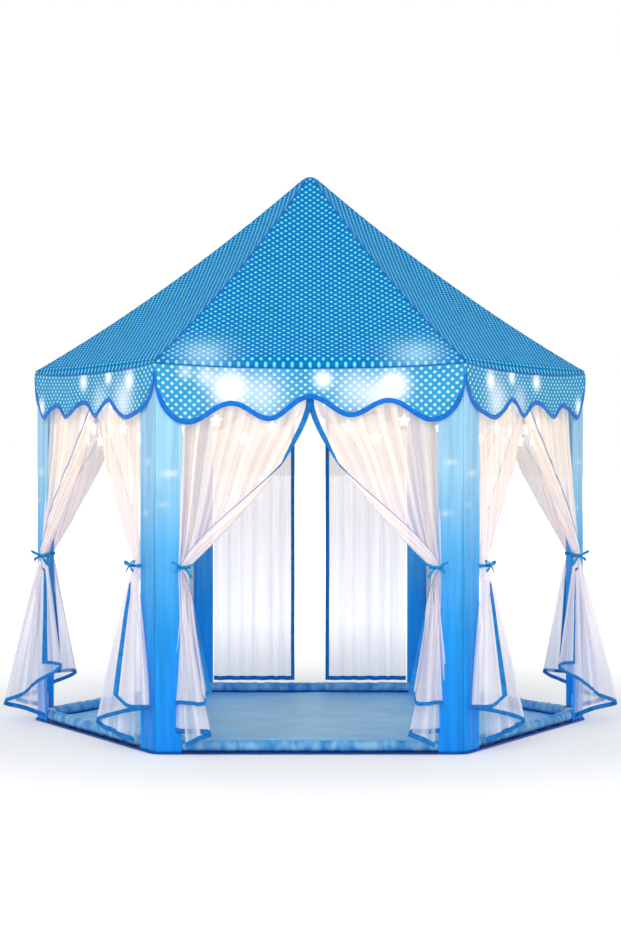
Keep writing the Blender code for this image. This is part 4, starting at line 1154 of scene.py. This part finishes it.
bound_line = []
for number in range(SIDES):
    corner = FIRST_CORNER + number * STEP
    reach = (EDGE_FLAT - EDGE_CORNER_ROUND) / HALF_COS
    for step in range(EDGE_CORNER_STEPS + 1):
        angle = corner + (step / EDGE_CORNER_STEPS - 0.5) * STEP
        bound_line.append(spoke(corner) * reach + spoke(angle) * EDGE_CORNER_ROUND)
    here, there = bound_line[-1], spoke(corner + STEP) * reach + spoke(corner + STEP / 2) * EDGE_CORNER_ROUND
    bound_line.extend(here.lerp(there, step / EDGE_SIDE_STEPS) for step in range(1, EDGE_SIDE_STEPS))
cord_angles = [math.radians(-135 + 27 * step) for step in range(11)]
edge_cross = [(math.cos(angle), 1.12 + math.sin(angle)) for angle in cord_angles]
edge_cross.extend((-EDGE_WEB / EDGE_CORD_RADIUS, rise) for rise in (0.7, 0.3))
rings = []
for index, place in enumerate(bound_line):
    out = Vector((place.x, place.y, 0)).normalized()
    swell = EDGE_CORD_RADIUS * (1 + 0.05 * math.sin(index * 1.9))
    rings.append([place + out * swell * x + UP * (swell * y) for x, y in edge_cross])
mat_binding = tape_finish("mat_binding", (0.002, 0.085, 0.42), 1.1)
mat_edge = shown("mat_edge", lofted("mat_edge", rings, closed=True), mat_binding)
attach(mat_edge, "root")

# Tied curtains
# Ten sheer voile curtains are gathered on the eave tubes by a sewn pocket, drawn aside to the corners and
# tied with ribbon. Under the tie the cloth fans out over the mat's hem. Satin tape binds each leading edge
# and hem.

DOOR_HALF = 0.273
TIE_HEIGHT = 0.420
TIE_DROP = EAVE_TUBE_HEIGHT - TIE_HEIGHT
TIE_WIDTH = 0.024
POCKET_RADIUS = 0.0112
POCKET_RUFFLE = 0.0011
POCKET_SEAM_ANGLE = math.radians(80)
POCKET_SEAM_DROP = POCKET_RADIUS * math.sin(POCKET_SEAM_ANGLE)
POCKET_SEAM_OUT = POCKET_RADIUS * math.cos(POCKET_SEAM_ANGLE)
POCKET_ROWS_SHARE = 0.08
POCKET_END_GAP = 0.009
DRAPE_ROWS_SHARE = 0.54
LEAD_LAP = 0.004
LEAD_DEPTH = 0.0026
FOLDS = 8
STRAIGHT_SHARE = 0.178
TURN_BACK_SHARE = 0.46
TURN_BACK_LAP = 0.0015
TURN_BACK_CALM = 0.85
SKIRT_LAP = 0.0066
TURN_ENDS = (0.15, 0.32)
SLEEVE_CLEAR = 0.0225
SLEEVE_CLEAR_EDGE = 0.012
# Depths of the folds under the pocket, further down the drape, and what the drape adds towards its tie
DRAPE_DEPTHS = (0.0012, 0.0042, 0.0028)
DRAPE_RUFFLE = 0.0014
# Depths of the folds under the tie and at the hem
SKIRT_DEPTHS = (0.0082, 0.0046)
SKIRT_RUFFLE = 0.0026
# How each kind of curtain hangs: where its post edge is, where its tie starts and how far out that is, how
# sharply it is drawn aside, from which share of its fall and how fast its edge turns back, whether in front
# or behind, and how late its skirt flares
HANGS = {
    "front": (-0.0145, -0.0215, 0.0240, 1.42, 0.44, 1.45, 1, 1.25),
    "middle": (-0.0060, -0.0060, 0.0230, 1.30, 0.10, 1.10, -1, 0.80),
    "outer": (-0.0060, -0.0215, 0.0230, 1.30, 0.0, 0.95, 1, 0.90),
}
HANGS["rear"] = HANGS["outer"]
# Round each kind of hem from the post to the leading edge: shares of the cloth's width, then metres along
# the side from the doorway's edge, out from the ground tube, and up
HEMS = {
    "front": (
        (0.00, -0.0045, 0.040, 0.018),
        (0.14, 0.0257, 0.062, 0.035),
        (0.27, 0.0532, 0.080, 0.053),
        (0.45, -0.0330, 0.010, 0.052),
        (0.58, -0.0330, 0.010, 0.108),
        (0.84, 0.0355, 0.102, 0.119),
        (0.95, 0.0440, 0.104, 0.142),
        (1.00, 0.0575, 0.103, 0.150),
    ),
    "middle": (
        (0.00, 0.004, 0.030, 0.018),
        (0.16, 0.034, 0.062, 0.034),
        (0.32, 0.065, 0.095, 0.061),
        (0.50, 0.000, 0.060, 0.086),
        (0.66, -0.066, 0.028, 0.101),
        (0.86, -0.058, 0.074, 0.106),
        (1.00, -0.030, 0.098, 0.134),
    ),
    "outer": (
        (0.00, 0.000, 0.0205, 0.0124),
        (0.16, -0.0044, 0.0720, 0.0340),
        (0.32, -0.0110, 0.1295, 0.0527),
        (0.48, 0.0286, 0.0973, 0.0744),
        (0.62, 0.0330, 0.0628, 0.1020),
        (0.80, 0.1100, 0.0260, 0.1490),
        (1.00, 0.0462, 0.0490, 0.1550),
    ),
}
HEMS["rear"] = tuple((share, along, out, 0.68 * height) for share, along, out, height in HEMS["outer"])
VOILE_WIDTH = 0.320
VOILE_LENGTH = 0.930
TIED_COLUMNS, TIED_ROWS, TIED_TAPE_ROWS = 150, 116, 130
LEAD_TAPE_SHARE = 0.040
SIDE_TAPE_SHARE = 0.056
LEAD_TAPE_EDGE_SHARE = 0.011
LEAD_EDGE_SHARE = 0.07
HEM_TAPE_SHARE = 0.013
TAPE_THICKNESS = 0.0016
STAR_REACH = 0.030
STAR_POWER = 0.8
# Painted light and shade of the voile: tones in its hollows and on its folds, at the hem, in the middle and
# at the eave
VOILE_LIGHT_AND_SHADE_TONES = (
    ((0.66, 0.68, 0.82), (0.80, 0.70, 0.76), (0.86, 0.70, 0.62)),
    ((0.92, 0.92, 0.98), (1.00, 0.94, 0.93), (1.00, 0.92, 0.82)),
)

voile, tree, shader = new_finish("white_voile", (0.95, 0.93, 0.96), 0.80, 0.10)
where = object_place(tree)
height = put(tree, "SeparateXYZ", where).outputs["Z"]
fold, glow = painted(tree, "fold"), painted(tree, "glow")
rise = height_share(tree, where)
# The tones paint shade into the hollows and light onto the folds, and a warm lamplight that grows towards the
# eave.
tones = [toned(tree, rise, (0.12, low), (0.80, top), (0.47, middle)) for low, middle, top in VOILE_LIGHT_AND_SHADE_TONES]
lit = mixed(tree, glow, mixed(tree, fold, *tones), (1.0, 0.96, 0.84))
# The voile also glows with painted lamplight, more towards the eave and round the stars.
lamplight = put(tree, "MapRange", height, 0.25, 0.62, 0.14, 0.30)
shine = put(tree, "Math", lamplight, put(tree, "Math", glow, 0.4, operation="MULTIPLY"), operation="ADD")
stretched = put(tree, "Mapping", flat_cut(tree), None, None, (260.0, 5.0, 1.0))
fibres = put(tree, "TexNoise", stretched, None, 1.0, 2.0, 0.5)
# It hides more of what is behind it on its folds, higher up and where the painted lamplight glows.
cover = put(tree, "MapRange", fold, 0.0, 1.0, 0.55, 0.86)
for share in (
    put(tree, "MapRange", height, 0.30, 0.50, -0.16, 0.0),
    put(tree, "MapRange", fibres, 0.30, 0.70, -0.06, 0.06),
    put(tree, "Math", glow, 0.3, operation="MULTIPLY"),
):
    cover = put(tree, "Math", cover, share, operation="ADD")
cover.use_clamp = True
wire(shader, {"Base Color": lit, "Emission Color": lit, "Emission Strength": shine, "Alpha": cover})
weave_bump(tree, shader, 0.0008, 0.2, 0.0008, 60.0)

tape_satin = tape_finish("curtain_tape", (0.004, 0.215, 0.62), 1.25)


def hem_place(style, across):
    """Where a tied curtain's hem lies, as (from the post, outward, height), on a line through its places."""
    places = HEMS[style]
    number = next(i for i, after in enumerate(places[1:]) if across <= after[0] + 1e-9)
    before, after = places[number], places[number + 1]
    share = (across - before[0]) / (after[0] - before[0])
    earlier, later = places[max(number - 1, 0)], places[min(number + 2, len(places) - 1)]
    return Vector([
        hermite(before[i], after[i], (after[i] - earlier[i]) / 2, (later[i] - before[i]) / 2, share)
        for i in (1, 2, 3)
    ])


def pleat(cloth, folds, phase):
    """The run of a gathered curtain's folds over its width, from -1 to 1, of uneven sizes."""
    warp = cloth + 0.022 * math.sin(math.tau * 2.3 * cloth + phase)
    warp += 0.010 * math.sin(math.tau * 5.1 * cloth + 2 * phase)
    size = 0.80 + 0.20 * math.sin(math.tau * 1.4 * cloth + 1.7 * phase)
    fine_folds = 0.30 * math.sin(math.tau * folds * 2.6 * warp + 2 * phase)
    return size * (math.sin(math.tau * folds * warp + phase) + fine_folds) / 1.15


def on_pocket(along, turned, wave):
    """A point of the pocket round the eave tube, from its inner seam over the top to its outer seam."""
    angle = -math.radians(100 + 340 * turned)
    radius = POCKET_RADIUS + POCKET_RUFFLE * (0.5 + 0.5 * wave)
    return Vector((along, radius * math.cos(angle), -radius * math.sin(angle)))


def folded_back(across, share):
    """Where a cloth share lies over the width once the leading edge is turned back, and how far it laps."""
    ridge = 1 - share
    if across <= ridge:
        return across / ridge, 0.0
    return (2 * ridge - across) / ridge, math.sin(math.pi / 2 * min(1.0, (across - ridge) / 0.030))


def turned_pleat(across, turned, phase):
    """A cloth share's place over the width with its edge turned back, its lap, and its calmed fold there."""
    place, lap = folded_back(across, TURN_BACK_SHARE * turned)
    wave = pleat(place * (1 - TURN_BACK_SHARE * turned), FOLDS, phase)
    return place, lap, wave * (1 - 0.72 * place ** 6) * (1 - TURN_BACK_CALM * lap)


def drape_point(across, share, phase, style, lead):
    """A point between a tied curtain's pocket and its tie, where it is drawn aside."""
    post_edge, tie_start, tie_out, sharpness, turn_start, turn_power, lap_side, _ = HANGS[style]
    turned = max(0.0, (share - turn_start) / (1 - turn_start)) ** turn_power
    place, lap, wave = turned_pleat(across, turned, phase)
    hang = STRAIGHT_SHARE * place
    pulled = max(0.0, (share - hang) / (1 - hang)) ** sharpness
    widened = min(1.0, share / 0.06)
    reach = place * (DOOR_HALF - POCKET_END_GAP * (1 - widened)) + LEAD_LAP * widened * place ** 8
    reach += post_edge * (1 - place)
    along = reach * (1 - pulled) + (tie_start + place * TIE_WIDTH) * pulled
    top_depth, more, most = DRAPE_DEPTHS
    depth = top_depth + more * min(1.0, share / 0.12) + most * min(1.0, share / 0.7)
    out = POCKET_SEAM_OUT * (1 - share) + tie_out * share ** 1.4
    out += (TURN_BACK_LAP + 0.8 * depth) * lap * lap_side
    out += lead * LEAD_DEPTH * place ** 8 * max(0.0, 1 - share / 0.5) * widened
    ripple = DRAPE_RUFFLE * ripple_at(place * 10, share * 5, phase) * min(1.0, share / 0.1)
    fall = POCKET_SEAM_DROP + (TIE_DROP - POCKET_SEAM_DROP) * share
    return Vector((along, out + wave * depth + ripple, fall))


def skirt_point(across, share, phase, style):
    """A point between a tied curtain's tie and its hem, where it fans out."""
    _, tie_start, tie_out, *_, lap_side, late = HANGS[style]
    turned = max(0.0, 1 - share / TURN_ENDS[style == "front"]) ** 1.6
    place, lap, wave = turned_pleat(across, turned, phase)
    hem = hem_place(style, across)
    run = hem_place(style, min(1.0, across + 0.01)) - hem_place(style, max(0.0, across - 0.01))
    square = Vector((-run.y, run.x)).normalized()
    if square.y < 0:
        square.negate()
    facing = Vector((0, 1)).lerp(square, min(1.0, share * 1.4)).normalized()
    start = tie_start + place * TIE_WIDTH
    along = start + (hem.x - start) * share ** late
    out = tie_out + (hem.y - tie_out) * share ** min(1.2, late)
    out += (TURN_BACK_LAP + SKIRT_LAP) * lap * lap_side
    depth = SKIRT_DEPTHS[0] * (1 - share) + SKIRT_DEPTHS[1] * share
    ruffle = wave * depth * (1 - math.exp(-across / 0.05) * share)
    ruffle += SKIRT_RUFFLE * ripple_at(place * 8, share * 3.2, phase + 2) * share
    along += facing.x * ruffle
    out += facing.y * ruffle
    if style != "front" and along < SLEEVE_CLEAR_EDGE:
        over = min(1.0, (SLEEVE_CLEAR_EDGE - along) / SLEEVE_CLEAR_EDGE)
        out = max(out, SLEEVE_CLEAR * over * min(1.0, share / 0.10))
    return Vector((along, out, TIE_DROP + (EAVE_TUBE_HEIGHT - hem.z - TIE_DROP) * share))


def tied_point(across, row, phase, style, lead):
    """A point of a tied curtain, as (from the post, outward, under the eave tube's axis)."""
    if row < POCKET_ROWS_SHARE:
        along = across * (DOOR_HALF - POCKET_END_GAP) + HANGS[style][0] * (1 - across)
        return on_pocket(along, row / POCKET_ROWS_SHARE, pleat(across, FOLDS, phase))
    if row <= DRAPE_ROWS_SHARE:
        share = (row - POCKET_ROWS_SHARE) / (DRAPE_ROWS_SHARE - POCKET_ROWS_SHARE)
        return drape_point(across, share, phase, style, lead)
    return skirt_point(across, (row - DRAPE_ROWS_SHARE) / (1 - DRAPE_ROWS_SHARE), phase, style)


def tied_fold(across, row, phase):
    """How far a point of a tied curtain stands up on a fold, from 0 in a hollow to 1 on a ridge, for painted
    shade.
    """
    wave = 0.5 + 0.5 * pleat(across, FOLDS, phase)
    crease = ripple_at(across * 26, row * 3, phase + 5)
    lead = 0.35 if across > 1 - LEAD_EDGE_SHARE else 0.0
    return clamped(0.06 + 0.86 * max(0.0, wave) ** 1.7 + 0.30 * crease + lead)


def lead_tape_share(style, row):
    """The width of the tape along a tied curtain's leading edge, rolled under round the tie."""
    flat = LEAD_TAPE_SHARE if style == "front" else SIDE_TAPE_SHARE
    narrow = clamped((0.64 - row) / 0.08)
    if style == "front":
        narrow = clamped((0.76 - row) / 0.10) * clamped((row - 0.24) / 0.07)
    return flat + (LEAD_TAPE_EDGE_SHARE - flat) * narrow


def placed(number, mirrored, place):
    """A curtain's point in the tent, from the post, outward and under the eave tube's axis."""
    along = place.x - DOOR_HALF
    return on_face(number, -along if mirrored else along, FRAME_FLAT + place.y, EAVE_TUBE_HEIGHT - place.z)


def hang_style(face, side):
    """Which kind of curtain hangs on one side of a doorway."""
    if "back" in face:
        return "rear"
    if face == "front":
        return "front"
    return "outer" if face.endswith(side) else "middle"


def voile_curtain(name, columns, rows, tape_rows, drape, fold, tape_share, mirrored):
    """A curtain and the tape folded over its leading edge and its hem, from a point for each share."""
    def lead_edge(across, row):
        down = POCKET_ROWS_SHARE + row * (1 - POCKET_ROWS_SHARE)
        return drape(1 - tape_share(down) * (1 - across), down)

    def hem_edge(across, row):
        return drape(across, 1 - HEM_TAPE_SHARE * (1 - row))

    def cloth_flat(across, row):
        return (across * VOILE_WIDTH, -row * VOILE_LENGTH)

    def edge_flat(across, row):
        return (across * LEAD_TAPE_SHARE, row)

    mesh = cloth_grid(f"voile_{name}", columns, rows, drape, cloth_flat, mirrored, fold)
    light_through(mesh, [(place, STAR_REACH, STAR_POWER) for place in star_places])
    tapes = [
        cloth_grid("tape", 5, tape_rows, lead_edge, edge_flat, mirrored),
        cloth_grid("tape", columns, 4, hem_edge, lambda *share: share, mirrored),
    ]
    curtain = shown(f"voile_{name}", mesh, voile)
    tape = shown(f"tape_{name}", joined("tape", tapes), tape_satin)
    thicken(tape, TAPE_THICKNESS, 0.0)
    return curtain, tape


tied_sides = [
    (number, face, side) for number, face in enumerate(FACES) if number != BACK for side in ("left", "right")
]
for index, (number, face, side) in enumerate(tied_sides):
    phase = 1.7 * index
    mirrored = side == "right"
    style = hang_style(face, side)

    def drape(across, row):
        return placed(number, mirrored, tied_point(across, row, phase, style, -1 if mirrored else 1))

    curtain, tape = voile_curtain(
        f"{face}_{side}", TIED_COLUMNS, TIED_ROWS, TIED_TAPE_ROWS, drape,
        lambda across, row: tied_fold(across, row, phase), lambda row: lead_tape_share(style, row), mirrored,
    )
    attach(curtain, "root")
    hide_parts(f"curtain_{face}_{side}")
    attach(tape, "root")

# Ribbon ties
# A narrow ribbon goes twice round each gathered curtain and is tied in a small bow, with two loops and two
# tails that droop under their own weight.

RIBBON_WIDTH = 0.0072
RIBBON_THICKNESS = 0.0005
BUNDLE_HALF_WIDTH = 0.0155
BUNDLE_HALF_DEPTH = 0.0122
LOOP_HALF_LENGTH = 0.0130
TAIL_LENGTH = 0.027
KNOT_HALF_SIZE = (0.0042, 0.0032, 0.0048)
BOW_TURN = math.radians(42)
TURN_STEPS, WING_STEPS, TAIL_STEPS = 40, 28, 16


def ribbon(route_at, steps, width, way, pinch):
    """A flat ribbon along the places of a share, narrower by the pinch share at each end."""
    shares = [step / steps for step in range(steps + 1)]
    points, faces = [], []
    for share in shares:
        half = width / 2 * (1 - pinch[0] * (1 - share) ** 3 - pinch[1] * share ** 3)
        place, aside = Vector(route_at(share)), Vector(way).normalized() * half
        points.extend((place - aside, place, place + aside))
    for row in range(steps):
        for corner in (row * 3, row * 3 + 1):
            faces.append((corner, corner + 1, corner + 4, corner + 3))
    mesh = bpy.data.meshes.new("ribbon")
    mesh.from_pydata(points, [], faces)
    return mesh


def bow_shape():
    """A bow in front of the curtain's bundle, which is centred on the Z axis and faces -Y."""
    front = -BUNDLE_HALF_DEPTH - 0.0008

    def round_bundle(share, swell, drop):
        angle = share * math.tau
        wide, deep = BUNDLE_HALF_WIDTH + swell, BUNDLE_HALF_DEPTH + swell
        return (wide * math.sin(angle), -deep * math.cos(angle), drop * math.cos(2 * angle))

    def wing(share, side, lean):
        angle = share * math.tau
        height = 0.0050 * math.sin(angle / 2) ** 2 + lean * 0.012 * (1 - math.cos(angle)) / 2
        out = front - 0.0046 - 0.0046 * math.sin(angle)
        return (side * LOOP_HALF_LENGTH * (1 - math.cos(angle)), out, height)

    def tail(share, side):
        fall = TAIL_LENGTH * (0.56 + 0.20 * side) * share ** 1.4
        out = front - 0.0030 - 0.0035 * math.sin(math.pi * share)
        return (side * (0.002 + 0.62 * TAIL_LENGTH * share), out, -0.002 - fall)

    pieces = [
        ribbon(lambda share: round_bundle(share, swell, drop), TURN_STEPS, RIBBON_WIDTH * 0.8, UP, (0, 0))
        for swell, drop in ((0.0, 0.0012), (0.0004, -0.0012))
    ]
    for side, lean in ((1, 0.25), (-1, 0.55)):
        wing_way, tail_way = (0.15 * side, 0.2, 1), (0.65 * side, 0.1, 1)
        pieces.append(
            ribbon(lambda share: wing(share, side, lean), WING_STEPS, RIBBON_WIDTH, wing_way, (0.62, 0.62))
        )
        pieces.append(ribbon(lambda share: tail(share, side), TAIL_STEPS, RIBBON_WIDTH, tail_way, (0.65, 0)))
    work = bmesh.new()
    knot_place = Matrix.Translation((0, front - 0.0032, 0)) @ Matrix.Diagonal((*KNOT_HALF_SIZE, 1))
    bmesh.ops.create_uvsphere(work, u_segments=16, v_segments=10, radius=1.0, matrix=knot_place)
    ribbons = shown("ribbons", joined("ribbons", pieces))
    thicken(ribbons, RIBBON_THICKNESS, 0.0)
    return joined("bow", [worked_out(ribbons), from_work("knot", work)])


ribbon_satin = tape_finish("blue_ribbon", (0.006, 0.30, 0.66), 1.4)
bow = bow_shape()
for number, face, side in tied_sides:
    mirror = -1 if side == "right" else 1
    style = hang_style(face, side)
    tie_start, tie_out = HANGS[style][1:3]
    middle = placed(number, side == "right", Vector((tie_start + TIE_WIDTH / 2, tie_out, TIE_DROP)))
    turn = number * STEP + (mirror * BOW_TURN if style == "outer" else 0)
    handed = Matrix.Rotation(turn, 4, "Z") @ Matrix.Diagonal((mirror, 1, 1, 1))
    bow_mesh = bow.copy()
    bow_mesh.transform(Matrix.Translation(middle) @ handed)
    if mirror < 0:
        bow_mesh.flip_normals()
    tie = shown(f"ribbon_tie_{face}_{side}", bow_mesh, ribbon_satin)
    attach(tie, "root")
bpy.data.meshes.remove(bow)

# Hanging curtains
# The back doorway's two curtains hang straight and untied from their tube. They swing on it, and their taped
# leading edges leave a narrow parting.

PARTING_HALF = 0.044
CLOSED_HEM_HEIGHT = 0.036
HANGING_FOLDS = 6
HANGING_DEPTHS = (0.0012, 0.0040, 0.0030)
HANGING_SWAY = 0.0024
HANGING_TAPE_SHARE = 1.1 * LEAD_TAPE_SHARE
HANGING_COLUMNS, HANGING_ROWS = 130, 110


def hanging_point(across, row, phase):
    """A point of a curtain that hangs straight from its pocket, in folds that deepen towards its hem."""
    wave = pleat(across, HANGING_FOLDS, phase)
    width = DOOR_HALF - PARTING_HALF
    if row < POCKET_ROWS_SHARE:
        return on_pocket(across * width, row / POCKET_ROWS_SHARE, wave)
    share = (row - POCKET_ROWS_SHARE) / (1 - POCKET_ROWS_SHARE)
    top_depth, more, most = HANGING_DEPTHS
    depth = top_depth + more * min(1.0, share / 0.10) + most * share
    fall = POCKET_SEAM_DROP + (EAVE_TUBE_HEIGHT - CLOSED_HEM_HEIGHT - POCKET_SEAM_DROP) * share
    sway = HANGING_SWAY * ripple_at(across * 4, share * 3, phase) * share
    out = POCKET_SEAM_OUT * (1 - share) + wave * depth * (1 - 0.6 * across ** 8)
    return Vector((across * width + sway, out, fall))


# A hanging curtain's mask from 0 in a hollow to 1 on a ridge, which the voile turns into painted shade and
# light.
def hanging_fold(across, row, phase):
    wave = max(0.0, 0.5 + 0.5 * pleat(across, HANGING_FOLDS, phase))
    return clamped(0.08 + 0.8 * wave ** 1.7 + 0.3 * ripple_at(across * 22, row * 2.5, phase + 5))


for side, phase in (("left", 2.6), ("right", 0.9)):
    mirrored = side == "right"
    curtain, tape = voile_curtain(
        f"back_{side}", HANGING_COLUMNS, HANGING_ROWS, HANGING_ROWS,
        lambda across, row: placed(BACK, mirrored, hanging_point(across, row, phase)),
        lambda across, row: hanging_fold(across, row, phase), lambda row: HANGING_TAPE_SHARE, mirrored,
    )
    body = f"back_{side}_curtain"
    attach(curtain, body)
    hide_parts(f"curtain_back_{side}")
    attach(tape, body)
